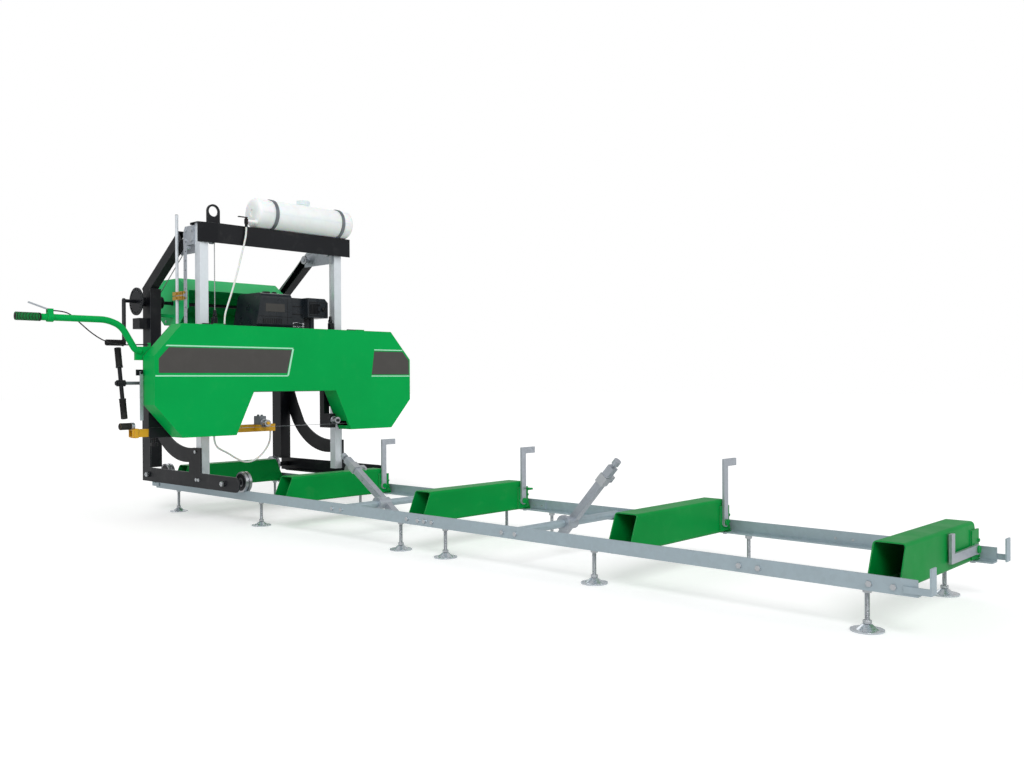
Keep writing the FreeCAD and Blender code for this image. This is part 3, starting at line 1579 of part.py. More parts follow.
def head_frame():
    """The cross tube with post sleeves, lift lugs, rear guard plate, arm bracket and depth rod."""
    tube = square_tube("y", TUBE_MIDDLE, (S.tube_front - S.tube_back) / 2, (S.tube_high - S.tube_low) / 2,
                       S.tube_wall, (-S.tube_end, S.tube_end))
    slot = box((S.tube_front - S.tube_wall * 2, S.guard_front + S.tube_wall), (S.slot_left, S.slot_right),
               (S.wheel_z - S.slot_half, S.wheel_z + S.slot_half))
    end_span = (-S.tube_end - S.tube_wall, -S.tube_end)
    end = box((S.tube_back, S.tube_front), end_span, (S.tube_low, S.tube_high))
    end_bore = rod("y", TUBE_MIDDLE, S.tension_shaft_radius + S.fit_gap,
                   (end_span[0] - S.tube_wall, end_span[1] + S.tube_wall))
    guard = plate("x", head_outline(), (S.guard_back, S.guard_front))
    shaft_hole = rod("x", (S.engine_y, S.engine_shaft_z), S.engine_shaft_radius * 1.5,
                     (S.guard_back - S.tube_wall, S.guard_front + S.tube_wall))
    solids = [cut(weld(tube, guard), slot, shaft_hole), cut(end, end_bore)]
    half = S.sleeve_half
    hole = S.post_side / 2 + S.sleeve_gap
    for name, side in SIDES:
        middle = S.post_y * side
        sleeve = box((S.post_x - half, S.post_x + half), (middle - half, middle + half),
                     (S.sleeve_low, S.sleeve_high))
        opening = box((S.post_x - hole, S.post_x + hole), (middle - hole, middle + hole),
                      (S.sleeve_low - half, S.sleeve_high + half))
        solids.append(cut(sleeve, opening))
        lug_y = mirror_pair(S.post_y - half - S.lug_deep, S.post_y - half, side)
        solids.append(box((S.lug_back, S.tube_back), lug_y, (S.tube_low, S.lug_top)))
        rope = S.drum_y * side
        wide = S.thimble_wide / 2
        eye_z = S.lug_top + S.thimble_radius - S.ruler_thick
        eye = cut(rod("y", (ROPE_X, eye_z), S.thimble_radius, (rope - wide, rope + wide)),
                  rod("y", (ROPE_X, eye_z), S.thimble_hole, (rope - wide * 2, rope + wide * 2)))
        clip = S.clip_half
        solids.append(eye)
        solids.append(box((ROPE_X - clip, ROPE_X + clip), (rope - wide, rope + wide),
                          (eye_z + S.thimble_hole, S.rope_low_z)))
    for y in (-S.cover_top_y, -S.throat_y, S.throat_y, S.cover_top_y):
        solids.append(box((S.tube_front, S.guard_back), (y - S.guide_half, y + S.guide_half),
                          (S.throat_z + S.guide_half, S.tube_high - S.guide_half)))
    drive = (S.wheel_y, S.wheel_z)
    solids.append(rod("x", drive, S.axle_size, (S.tube_front, S.wheel_front + S.washer_gap)))
    solids.append(rod("x", drive, S.axle_cap_radius,
                      (S.wheel_front + S.washer_gap, S.wheel_front + S.washer_gap + S.axle_cap_tall)))
    plate_span = (S.engine_plate_left, S.engine_plate_right)
    plate_top = S.tube_high + S.engine_plate_thick
    solids.append(box((S.engine_back, S.tube_front), plate_span, (S.tube_high, plate_top)))
    for edge in (S.engine_plate_left, S.engine_plate_right - S.engine_rib_thick):
        rib = [(S.tube_back, S.tube_low), (S.tube_back, S.tube_high), (S.engine_rib_back, S.tube_high)]
        solids.append(plate("y", rib, (edge, edge + S.engine_rib_thick)))
    gap = S.arm_gap
    wall = S.arm_sleeve_wall
    arm_spans = ((S.arm_back, ARM_FRONT), (S.arm_low, ARM_TOP))
    sleeve_y = (S.arm_sleeve_left, S.arm_sleeve_right)
    outer = [(low - gap - wall, high + gap + wall) for low, high in arm_spans]
    inner = [(low - gap, high + gap) for low, high in arm_spans]
    sleeve = cut(box(outer[0], sleeve_y, outer[1]),
                 box(inner[0], (sleeve_y[0] - wall, sleeve_y[1] + wall), inner[1]))
    lock_hole = rod("z", ((S.arm_back + ARM_FRONT) / 2, S.lock_y), S.lock_stem + S.fit_gap,
                    (outer[1][0] - wall, S.arm_low))
    solids.append(cut(sleeve, lock_hole))
    solids.append(box((S.arm_back, ARM_FRONT), sleeve_y, (outer[1][1], S.tube_low)))
    fixed = S.guide_fixed_y
    solids.append(box((S.arm_back, ARM_FRONT), (fixed - S.guide_half, fixed + S.guide_half),
                      (S.guide_low, S.tube_low)))
    solids += guide_block(fixed)
    for side in (-1, 1):
        y = S.hinge_place * side
        leaf = S.hinge_knuckle / 2
        solids.append(hinge_knuckle(y, leaf))
        solids.append(box((S.guard_back, S.guard_front), (y - leaf, y + leaf),
                          (S.cover_top - S.hinge_leaf / 3, S.hinge_z)))
        solids.append(rod("y", (S.hinge_x, S.hinge_z), S.hinge_pin_radius, (y - leaf, y + leaf * 3)))
    solids += depth_rod()
    tab = box((S.guard_back, S.guard_front), (S.latch_tab_out, -S.cover_side),
              (S.latch_top - S.latch_tab_half, S.latch_top + S.latch_tab_half))
    pin_end = S.latch_x + S.washer_gap
    solids += [tab, rod("x", (S.latch_y, S.latch_top), S.latch_pin_radius, (S.guard_front, pin_end)),
               rod("x", (S.latch_y, S.latch_top), S.latch_pin_radius * 2, (pin_end, pin_end + S.tube_wall))]
    solids.append(hose_block(HOSE_ROUTE[-1], S.cover_top - S.guide_half))
    solids.append(hose_block(LOOP_ROUTE[0], S.cover_bottom + S.lug_deep))
    return weld(*solids)


def hose_block(end, other):
    """A block behind the guard plate that holds the end of a hose, up or down to another height."""
    reach = S.coolant_radius + S.washer_gap
    return box((end[0] - reach, S.guard_back), (end[1] - reach, end[1] + reach), (end[2], other))


def depth_rod():
    """The upright rod beside the head on its arm."""
    arm_in = S.rod_y - S.rod_arm_gap
    arm_y = (arm_in - S.rod_arm_thick, arm_in)
    high = S.rod_low + S.rod_arm_tall
    web = S.rod_web_half
    return [
        rod("z", (S.rod_x, S.rod_y), S.rod_radius, (S.rod_low, S.rod_top)),
        box((S.rod_x - web, S.rod_x + web), (arm_in, S.rod_y), (S.rod_low, high)),
        box((S.rod_x - web, S.tube_back + S.lug_deep), arm_y, (S.rod_low, high)),
        box((S.tube_back, S.tube_back + S.lug_deep), arm_y, (S.tube_high, high)),
    ]


LOOP_ROUTE = [
    (-1453, -438, 469), (-1453, -438, 432), (-1454, -415, 395), (-1457, -358, 370), (-1460, -300, 333),
    (-1463, -240, 308), (-1466, -180, 318), (-1469, -128, 352), (-1471, -92, 395), (-1471, -78, 434),
    (-1471, -78, 474.6),
]
CABLE_ROUTE = [
    (-1450, -1273, 1090), (-1450, -1238, 1090), (-1464, -1186, 1080), (-1480, -1136, 1042),
    (-1482, -1080, 994), (-1480, -1018, 955), (-1479, -950, 938), (-1477, -893, 938), (-1457, -838, 941),
    (-1457, -800, 941),
]


def wheel_cover():
    """The folded sheet cover over both wheels, open behind, with blade notches and hinge knuckles."""
    outer = plate("x", head_outline(), (S.cover_back, S.cover_front))
    doc.recompute()
    faces = outer.Shape.Faces
    back = min(range(len(faces)), key=lambda i: faces[i].CenterOfMass.x)
    shell = doc.addObject("Part::Thickness", "Shell")
    shell.Faces = (outer, [f"Face{back + 1}"])
    shell.Mode = 0
    shell.Join = 2
    bind(shell, "Value", -S.cover_wall)
    notches = []
    for name, side in SIDES:
        notches.append(box((S.cover_back - S.cover_wall, S.notch_front),
                           mirror_pair(S.notch_in, S.notch_out, side), (S.notch_low, S.notch_high)))
    knuckles = []
    for side in (-1, 1):
        leaf = S.hinge_knuckle / 2
        y = S.hinge_place * side + leaf * 2 + S.slide_gap
        knuckle = hinge_knuckle(y, leaf)
        neck = box((S.hinge_x, S.cover_back + S.hinge_radius), (y - leaf, y + leaf),
                   (S.hinge_z, S.hinge_z + S.hinge_radius))
        leg = box((S.cover_back, S.cover_back + S.hinge_radius), (y - leaf, y + leaf),
                  (S.cover_top - S.cover_wall, S.hinge_z + S.hinge_radius))
        bore = rod("y", (S.hinge_x, S.hinge_z), S.hinge_pin_radius + S.fit_gap, (y - leaf * 2, y + leaf * 2))
        knuckles.append(cut(weld(knuckle, neck, leg), bore))
    return weld(cut(shell, *notches), *knuckles)


def band_wheel(y):
    """A band wheel with a thick rim, a thinner web with holes and a hub."""
    spot = (y, S.wheel_z)
    tire = rod("x", spot, S.wheel_radius, (WHEEL_BACK, S.wheel_front))
    middle = (WHEEL_BACK + S.wheel_front) / 2
    inside = S.wheel_radius - S.wheel_rim
    reliefs = []
    for start, end in ((WHEEL_BACK - S.wheel_web, middle - S.wheel_web / 2),
                       (middle + S.wheel_web / 2, S.wheel_front + S.wheel_web)):
        reliefs.append(pipe("x", spot, inside, inside - S.wheel_hub_radius, (start, end)))
    for step in range(int(S.wheel_spokes.value)):
        angle = as_size(FULL_TURN) * step / S.wheel_spokes
        place = (y + cosine(angle) * S.spoke_hole_ring, S.wheel_z + sine(angle) * S.spoke_hole_ring)
        reliefs.append(rod("x", place, S.spoke_hole_radius,
                           (WHEEL_BACK - S.wheel_web, S.wheel_front + S.wheel_web)))
    return cut(tire, *reliefs)


def pulley(spot, radius):
    """A pulley with one belt groove."""
    back, front = S.pulley_back, S.pulley_back + S.pulley_wide
    middle = (back + front) / 2
    half = S.belt_wide / 2 + S.pulley_gap
    disc = rod("x", spot, radius, (back, front))
    ring = pipe("x", spot, radius + S.pulley_groove, S.pulley_groove * 2, (middle - half, middle + half))
    return cut(disc, ring)


def drive_wheel():
    """The drive wheel with its pulley, on a bore for the fixed axle."""
    spot = (S.wheel_y, S.wheel_z)
    hub = rod("x", spot, S.wheel_hub_radius, (S.pulley_back, S.wheel_front))
    bore = rod("x", spot, S.axle_size + S.fit_gap, (S.pulley_back - S.wheel_web, S.wheel_front + S.wheel_web))
    return cut(weld(band_wheel(S.wheel_y), hub, pulley(spot, S.drive_pulley_radius)), bore)


def idler_wheel():
    """The idler wheel, on a bore for the axle of its block."""
    spot = (-S.wheel_y, S.wheel_z)
    hub = rod("x", spot, S.wheel_hub_radius, (WHEEL_BACK - S.wheel_web, S.wheel_front))
    bore = rod("x", spot, S.axle_size + S.fit_gap,
               (WHEEL_BACK - S.wheel_web * 2, S.wheel_front + S.wheel_web))
    return cut(weld(band_wheel(-S.wheel_y), hub), bore)


def idler_block():
    """The block that slides in the cross tube and carries the idler axle."""
    inset = S.tube_wall + S.block_gap
    front = S.tube_front - inset
    block = box((S.tube_back + inset, front), (S.block_left, S.block_right),
                (S.tube_low + inset, S.tube_high - inset))
    spot = (-S.wheel_y, S.wheel_z)
    end = S.wheel_front + S.washer_gap
    return weld(block, rod("x", spot, S.axle_size, (front, end)),
                rod("x", spot, S.axle_cap_radius, (end, end + S.axle_cap_tall)))


def engine_pulley():
    """The engine shaft with its pulley."""
    spot = (S.engine_y, S.engine_shaft_z)
    shaft = rod("x", spot, S.engine_shaft_radius,
                (S.engine_front - S.washer_gap * 10, S.pulley_back + S.pulley_wide))
    return weld(shaft, pulley(spot, S.engine_pulley_radius))


def belt_hull(drop, span):
    """The hull of the two pulleys, both taken smaller by a drop; the places are in Y and Z."""
    small = (S.engine_y, S.engine_shaft_z)
    large = (S.wheel_y, S.wheel_z)
    small_radius, large_radius = S.engine_pulley_radius - drop, S.drive_pulley_radius - drop
    run = (large[0] - small[0], large[1] - small[1])
    length = root(run[0] * run[0] + run[1] * run[1])
    u = (run[0] / length, run[1] / length)
    lean = (small_radius - large_radius) / length
    rise = root(1 - lean * lean)
    corners = []
    for way, sets in ((1, ((small, small_radius), (large, large_radius))),
                      (-1, ((large, large_radius), (small, small_radius)))):
        normal = (u[0] * lean - u[1] * rise * way, u[1] * lean + u[0] * rise * way)
        corners += [(spot[0] + normal[0] * radius, spot[1] + normal[1] * radius) for spot, radius in sets]
    return weld(rod("x", small, small_radius, span), rod("x", large, large_radius, span),
                plate("x", corners, span))


def drive_belt():
    """The belt from the engine pulley to the drive wheel's pulley."""
    middle = S.pulley_back + S.pulley_wide / 2
    half = S.belt_wide / 2
    inner = S.pulley_groove - S.pulley_gap
    return cut(belt_hull(inner - S.belt_thick, (middle - half, middle + half)),
               belt_hull(inner, (middle - half * 2, middle + half * 2)))


def blade_outline(radius):
    """The line of the blade round both wheels, in Y and Z."""
    y, z = S.wheel_y, S.wheel_z
    return [
        (-y, z - radius), (y, z - radius, radius, -1), (y + radius, z, radius, -1), (y, z + radius),
        (-y, z + radius, radius, -1), (-y - radius, z, radius, -1),
    ]


def band_blade():
    """The endless band blade round the wheels."""
    inner = S.wheel_radius + S.blade_gap
    back = S.wheel_front - S.blade_wide
    over = S.blade_wide
    return cut(plate("x", blade_outline(inner + S.blade_thick), (back, S.wheel_front)),
               plate("x", blade_outline(inner), (back - over, S.wheel_front + over)))


def engine_block():
    """The engine's case with the bore for its shaft."""
    case = rounded("x", (S.engine_left, S.engine_right), (S.engine_low, S.engine_case_top),
                   S.engine_round, (S.engine_back + S.engine_round, S.engine_front))
    starter = rounded("x", (S.engine_left + S.engine_round * 2, S.engine_right - S.engine_round * 2),
                      (S.engine_low + S.engine_round, S.engine_case_top), S.engine_round * 2,
                      (S.engine_back, S.engine_back + S.engine_round))
    bore = rod("x", (S.engine_y, S.engine_shaft_z), S.engine_shaft_radius + S.fit_gap,
               (S.engine_front - S.washer_gap * 10 - S.slide_gap, S.engine_front + S.engine_round))
    wall = S.engine_wall
    hollow = box((S.engine_back + S.engine_round + wall, S.engine_front - wall),
                 (S.engine_left + wall, S.engine_right - wall),
                 (S.engine_low + wall, S.engine_case_top + wall))
    return cut(weld(case, starter), bore, hollow)


def engine_cover():
    """The engine's smooth top cowl with the air cleaner box on its stub."""
    rise, wall = S.engine_round, S.cowl_wall
    inner = S.engine_right - S.cleaner_deep
    base, top = S.engine_case_top, S.engine_top
    cowl = rounded("y", (S.engine_back + rise, S.engine_front - rise), (base, top), rise,
                   (S.cowl_left, inner))
    edge = S.cowl_left + S.cowl_slant
    sloped = plate("x", [(S.cowl_left - wall, base), (S.cowl_left, base), (edge, top + wall),
                         (S.cowl_left - wall, top + wall)], (S.engine_back, S.engine_front))
    profile = [(inner, S.cleaner_low), (S.engine_right, S.cleaner_low),
               (S.engine_right, S.cleaner_top - S.cleaner_corner),
               (S.engine_right - S.cleaner_corner, S.cleaner_top), (inner, S.cleaner_top)]
    cleaner = plate("x", profile, (S.engine_front - S.cleaner_long, S.engine_front))
    rear = box((S.engine_back + rise, S.engine_front - S.cleaner_long), (inner, S.engine_right - rise),
               (base, top - rise * 2))
    stub = rod("z", (S.stub_x, S.stub_y), S.stub_radius, (base, S.cleaner_low + wall))
    stub_bore = rod("z", (S.stub_x, S.stub_y), S.stub_radius - S.stub_wall,
                    (base - wall, S.cleaner_low + wall))
    hollow = box((S.engine_back + rise * 2, S.engine_front - rise * 2), (edge + rise, S.cowl_right - wall),
                 (base - wall, top - wall * 2))
    filter_hollow = box((S.engine_front - S.cleaner_long + rise / 2, S.engine_front - wall * 2),
                        (inner + wall * 2, S.engine_right - rise),
                        (S.cleaner_low + wall, S.cleaner_top - wall * 4))
    recess = box((S.engine_front - S.cowl_recess, S.engine_front + wall), (S.cowl_right, inner),
                 (base - wall, top + wall))
    dip = box((S.engine_back, S.engine_front + wall), (S.cowl_right, inner), (top - S.cowl_dip, top + wall))
    return cut(weld(cut(cowl, sloped, recess, dip), cleaner, rear, stub), hollow, filter_hollow, stub_bore)


def tension_handle():
    """The tension screw with its hub, cross bar and two grips."""
    shaft = rod("y", TUBE_MIDDLE, S.tension_shaft_radius,
                (S.tension_left - S.tee_hub_long / 2, S.block_left - S.tension_stop))
    hub = rod("y", TUBE_MIDDLE, S.tee_hub_radius,
              (S.tension_left - S.tee_hub_long / 2, S.tension_left + S.tee_hub_long / 2))
    solids = [shaft, hub]
    for radius, start, length in ((S.tee_radius, -S.tee_half, S.tee_half * 2),
                                  (S.tee_grip_radius, -S.tee_half, S.tee_grip_long),
                                  (S.tee_grip_radius, S.tee_half - S.tee_grip_long, S.tee_grip_long)):
        solids.append(leaning_rod(TUBE_MIDDLE, S.tee_tilt, S.tension_left, radius, start, length))
    return weld(*solids)


def guide_arm():
    """The sliding guide arm with its guide block, collar and grip."""
    middle = ((S.arm_back + ARM_FRONT) / 2, (S.arm_low + ARM_TOP) / 2)
    half = S.arm_side / 2
    arm = square_tube("y", middle, half, half, S.arm_wall, (S.arm_left, S.arm_right))
    wall = S.collar_wall
    collar = cut(box((S.arm_back - wall, ARM_FRONT + wall), (S.collar_left, S.collar_right),
                     (S.arm_low - wall, ARM_TOP + wall)),
                 box((S.arm_back, ARM_FRONT), (S.collar_left - wall, S.collar_right + wall),
                     (S.arm_low, ARM_TOP)))
    grip = rod("y", (middle[0], S.arm_grip_high), S.arm_grip_radius, (S.arm_grip_left, S.arm_grip_right))
    stem = box((middle[0] - half / 2, middle[0] + half / 2), (S.arm_left, S.arm_grip_right),
               (ARM_TOP, S.arm_grip_high))
    return weld(arm, collar, grip, stem, *guide_block(S.guide_y))


def guide_roller(y):
    """A blade guide roller with its back flange and bore."""
    spot = (y, GUIDE_Z)
    back = WHEEL_BACK - S.washer_gap - S.guide_flange_thick
    return cut(weld(rod("x", spot, S.guide_roller_radius, (back, S.guide_roller_front)),
                    rod("x", spot, S.guide_flange_radius, (back, back + S.guide_flange_thick))),
               rod("x", spot, S.guide_pin_radius + S.fit_gap,
                   (back - S.wheel_web, S.guide_roller_front + S.wheel_web)))


def arm_lock_knob():
    """The screw knob below the arm's sleeve."""
    spot = ((S.arm_back + ARM_FRONT) / 2, S.lock_y)
    low = S.arm_low - S.arm_gap - S.arm_sleeve_wall - S.lock_reach
    return weld(rod("z", spot, S.lock_stem, (low, S.arm_low - S.arm_gap * 2)),
                rod("z", spot, S.lock_knob_radius, (low - S.lock_knob_long, low)))


def handle_points():
    """The route of the push handle."""
    x = S.handle_x.value
    spots = ((S.handle_start_y, S.handle_start_z), (S.handle_low_y, S.handle_low_z),
             (S.handle_high_y, S.handle_high_z), (S.handle_bend_y, S.handle_z), (S.handle_tip, S.handle_z))
    return [Vector(x, y.value, z.value) for y, z in spots]


def push_handle():
    """The bent push handle with its foot on the guard plate, its grip and the throttle's clamp."""
    edges, length = rounded_route("push_handle", handle_points())
    solid = feature(swept(edges, S.handle_radius.value))
    foot = box((S.guard_back - S.handle_foot_thick, S.guard_back), (S.handle_foot_out, S.handle_foot_in),
               (S.handle_foot_low, S.handle_foot_high))
    stop = box((S.guard_back - S.handle_foot_thick, S.guard_back),
               (S.cable_stop_y, S.cable_stop_y + S.cable_stop_thick), (S.handle_foot_low, S.cable_stop_top))
    line = (S.handle_x, S.handle_z)
    wall = S.handle_grip_radius - S.handle_radius
    grip = pipe("y", line, S.handle_grip_radius, wall, (S.handle_tip, S.handle_grip_from))
    half = S.throttle_clamp_long / 2
    clamp = rod("y", line, S.throttle_clamp_radius, (S.throttle_y - half, S.throttle_y + half))
    solids = [solid, foot, stop, clamp]
    pivot_z = S.handle_z + S.throttle_pivot_high
    gap = S.throttle_lever_wide / 2 + S.slide_gap
    ear = S.throttle_ear_half
    ear_high = (S.handle_z + S.handle_radius, pivot_z + ear / 2)
    for way in (-1, 1):
        solids.append(box((S.handle_x + gap * way, S.handle_x + (gap + S.throttle_ear_thick) * way),
                          (S.throttle_y - ear, S.throttle_y + ear), ear_high))
    reach = gap + S.throttle_ear_thick
    across = (S.handle_x - reach, S.handle_x + reach)
    solids.append(rod("x", (S.throttle_y, pivot_z), S.throttle_pin_radius, across))
    solids.append(box(across, (S.throttle_y + ear - S.ruler_thick, S.throttle_y + ear), ear_high))
    return weld(*solids, grip)


def throttle_lever():
    """The throttle lever over the grip, on its pivot."""
    pivot = (S.throttle_y, S.handle_z + S.throttle_pivot_high)
    tip = (S.throttle_y - S.throttle_lever_long, pivot[1] + S.throttle_lever_rise)
    half = S.throttle_lever_wide / 2
    span = (S.handle_x - half, S.handle_x + half)
    lever = plate("x", bar_corners(pivot, tip, S.throttle_lever_thick), span)
    hub = rod("x", pivot, S.throttle_hub_radius, span)
    bore = rod("x", pivot, S.throttle_pin_radius + S.fit_gap, (span[0] - half, span[1] + half))
    return cut(weld(lever, hub), bore)


def cover_latch():
    """The latch bar at the left side of the cover, on its pin."""
    half = S.latch_wide / 2
    span = (S.latch_x - S.latch_thick, S.latch_x)
    bar = box(span, (S.latch_y - half, S.latch_y + half), (S.latch_low, S.latch_top))
    eye = rod("x", (S.latch_y, S.latch_top), half, span)
    bore = rod("x", (S.latch_y, S.latch_top), S.latch_pin_radius + S.fit_gap,
               (span[0] - S.latch_thick, span[1] + S.latch_thick))
    return cut(weld(bar, eye), bore)


node("head_frame", head_frame())
node("engine_block", engine_block())
node("engine_cover", engine_cover())
node("engine_pulley", engine_pulley())
node("drive_belt", drive_belt())
node("drive_wheel", drive_wheel())
node("idler_wheel", idler_wheel())
node("idler_block", idler_block())
node("tension_handle", tension_handle())
node("band_blade", band_blade())
node("wheel_cover", wheel_cover())
node("cover_latch", cover_latch())
node("guide_arm", guide_arm())
node("guide_roller_left", guide_roller(S.guide_y))
node("guide_roller_right", guide_roller(S.guide_fixed_y))
node("arm_lock_knob", arm_lock_knob())
node("push_handle", push_handle())
node("throttle_lever", throttle_lever())
node("throttle_cable", cord("throttle_cable", CABLE_ROUTE, S.cable_radius))
node("coolant_loop", cord("coolant_loop", LOOP_ROUTE, S.coolant_radius))


doc.recompute()
for thing in doc.Objects:
    if "Invalid" in thing.State or "Error" in thing.State:
        raise SystemExit(f"{thing.Name} failed: {thing.State}")
for thing in NODES:
    if thing.Shape.isNull() or not thing.Shape.isValid():
        raise SystemExit(f"{thing.Label} has no valid shape")
os.makedirs("parts", exist_ok=True)
for thing in NODES:
    thing.Shape.exportStep(f"parts/{thing.Label}.step")
print(len(NODES), "sub-parts written")
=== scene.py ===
"""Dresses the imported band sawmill: finishes for its nodes, and detail where the solids are plain."""

import logging
import math
from dataclasses import dataclass
from enum import Enum

import bmesh
import bpy
from mathutils import Matrix, Vector


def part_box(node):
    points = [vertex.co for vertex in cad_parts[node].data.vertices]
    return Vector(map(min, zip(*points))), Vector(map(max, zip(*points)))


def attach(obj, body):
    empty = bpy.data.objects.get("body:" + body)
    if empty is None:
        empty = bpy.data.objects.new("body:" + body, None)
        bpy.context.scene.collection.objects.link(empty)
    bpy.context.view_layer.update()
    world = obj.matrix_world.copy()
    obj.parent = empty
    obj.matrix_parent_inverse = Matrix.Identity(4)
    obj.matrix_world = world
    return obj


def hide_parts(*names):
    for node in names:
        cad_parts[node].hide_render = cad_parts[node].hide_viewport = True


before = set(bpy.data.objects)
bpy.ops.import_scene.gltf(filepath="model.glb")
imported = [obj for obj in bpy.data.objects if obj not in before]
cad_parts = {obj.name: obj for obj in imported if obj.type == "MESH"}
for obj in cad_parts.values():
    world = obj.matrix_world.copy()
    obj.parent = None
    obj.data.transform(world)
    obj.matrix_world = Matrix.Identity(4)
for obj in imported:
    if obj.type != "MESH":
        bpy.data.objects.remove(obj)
NODES: dict[str, bpy.types.Object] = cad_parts
LOG = logging.getLogger("sawmill")
MM = 0.001


class Axis(Enum):
    """A direction of the part's frame."""

    X = Vector((1, 0, 0))
    Y = Vector((0, 1, 0))
    Z = Vector((0, 0, 1))


def place(*values: float) -> Vector:
    """A point given in millimetres, in metres."""
    return Vector(values) * MM


def tone(red: int, green: int, blue: int) -> tuple[float, float, float, float]:
    """A colour as a shader takes it.

    Args:
        red, green, blue: The colour as a screen shows it, 0 to 255.

    Returns:
        The same colour in linear light, with full alpha.
    """
    def linear(value: float) -> float:
        """One channel in linear light."""
        share = value / 255
        return share / 12.92 if share <= 0.04045 else ((share + 0.055) / 1.055) ** 2.4
    return (linear(red), linear(green), linear(blue), 1.0)


# Finishes


class Coating:
    """The node tree of one finish, and short names for the nodes that the finishes use."""

    def __init__(self, name: str) -> None:
        """Start a material with its shader and Object coordinates."""
        self.material = bpy.data.materials.new(name)
        self.material.use_nodes = True
        self.tree = self.material.node_tree
        self.shader = self.tree.nodes["Principled BSDF"]
        self.where = self.add("ShaderNodeTexCoord").outputs["Object"]

    def add(self, kind: str, **values: object) -> bpy.types.Node:
        """Add a node and set its properties."""
        node = self.tree.nodes.new(kind)
        for key, value in values.items():
            setattr(node, key, value)
        return node

    def join(self, source: bpy.types.NodeSocket, target: bpy.types.NodeSocket) -> None:
        """Link two sockets."""
        self.tree.links.new(source, target)

    def stretched(self, scale: tuple[float, float, float]) -> bpy.types.NodeSocket:
        """Object coordinates, stretched so that a pattern runs along a direction."""
        mapping = self.add("ShaderNodeMapping")
        mapping.inputs["Scale"].default_value = scale
        self.join(self.where, mapping.inputs["Vector"])
        return mapping.outputs["Vector"]

    def noise(self, scale: float, detail: float = 3, rough: float = 0.55,
              along: bpy.types.NodeSocket | None = None) -> bpy.types.NodeSocket:
        """Soft noise from 0 to 1.

        Args:
            scale: Patches per metre.
            detail: Finer layers added to it.
            rough: How strong the finer layers are.
            along: Coordinates to use in place of plain Object ones.

        Returns:
            The value socket.
        """
        node = self.add("ShaderNodeTexNoise")
        node.inputs["Scale"].default_value = scale
        node.inputs["Detail"].default_value = detail
        node.inputs["Roughness"].default_value = rough
        self.join(along or self.where, node.inputs["Vector"])
        return node.outputs["Fac"]

    def cells(self, scale: float, feature: str = "F1") -> bpy.types.Node:
        """A Voronoi node of so many cells per metre."""
        node = self.add("ShaderNodeTexVoronoi", feature=feature)
        node.inputs["Scale"].default_value = scale
        self.join(self.where, node.inputs["Vector"])
        return node

    def spread(self, value: bpy.types.NodeSocket, start: float, end: float,
               low: float = 0.0, high: float = 1.0) -> bpy.types.NodeSocket:
        """Map a value from start..end to low..high, clamped."""
        node = self.add("ShaderNodeMapRange")
        self.join(value, node.inputs["Value"])
        for key, number in (("From Min", start), ("From Max", end), ("To Min", low), ("To Max", high)):
            node.inputs[key].default_value = number
        return node.outputs["Result"]

    def sums(self, kind: str, one: bpy.types.NodeSocket,
             other: bpy.types.NodeSocket | float) -> bpy.types.NodeSocket:
        """A Math node of two values."""
        node = self.add("ShaderNodeMath", operation=kind)
        self.join(one, node.inputs[0])
        if isinstance(other, float):
            node.inputs[1].default_value = other
        else:
            self.join(other, node.inputs[1])
        return node.outputs[0]

    def mixed(self, share: bpy.types.NodeSocket, low: object, high: object) -> bpy.types.NodeSocket:
        """A colour between two, each a tuple or a socket."""
        node = self.add("ShaderNodeMix", data_type="RGBA")
        self.join(share, node.inputs[0])
        for colour, socket in ((low, node.inputs[6]), (high, node.inputs[7])):
            if isinstance(colour, tuple):
                socket.default_value = colour
            else:
                self.join(colour, socket)
        return node.outputs[2]

    def edges(self, radius: float) -> bpy.types.NodeSocket:
        """A normal rounded at the edges by so many metres."""
        node = self.add("ShaderNodeBevel", samples=4)
        node.inputs["Radius"].default_value = radius
        return node.outputs["Normal"]

    def rubbed(self, radius: float) -> bpy.types.NodeSocket:
        """A mask of the edges, 1 where they are rubbed bare."""
        dot = self.add("ShaderNodeVectorMath", operation="DOT_PRODUCT")
        self.join(self.edges(radius), dot.inputs[0])
        self.join(self.add("ShaderNodeNewGeometry").outputs["Normal"], dot.inputs[1])
        patchy = self.spread(self.noise(45, 4), 0.45, 0.7, 0.0, 0.35)
        bent = self.sums("SUBTRACT", self.spread(dot.outputs["Value"], 0.99, 0.86), self.sums(
            "SUBTRACT", self.spread(self.noise(30, 3), 0.3, 0.7, 0.95, 0.45), patchy))
        return self.spread(bent, 0.0, 0.3)

    def relief(self, height: bpy.types.NodeSocket, strength: float, depth: float,
               normal: bpy.types.NodeSocket | None = None) -> None:
        """Raise the surface by a height value, over an optional normal."""
        node = self.add("ShaderNodeBump")
        node.inputs["Strength"].default_value = strength
        node.inputs["Distance"].default_value = depth
        self.join(height, node.inputs["Height"])
        if normal:
            self.join(normal, node.inputs["Normal"])
        self.join(node.outputs["Normal"], self.shader.inputs["Normal"])

    def fixed(self, **values: float) -> None:
        """Set sockets that are the same all over; an underscore stands for a space."""
        for key, value in values.items():
            self.shader.inputs[key.replace("_", " ")].default_value = value


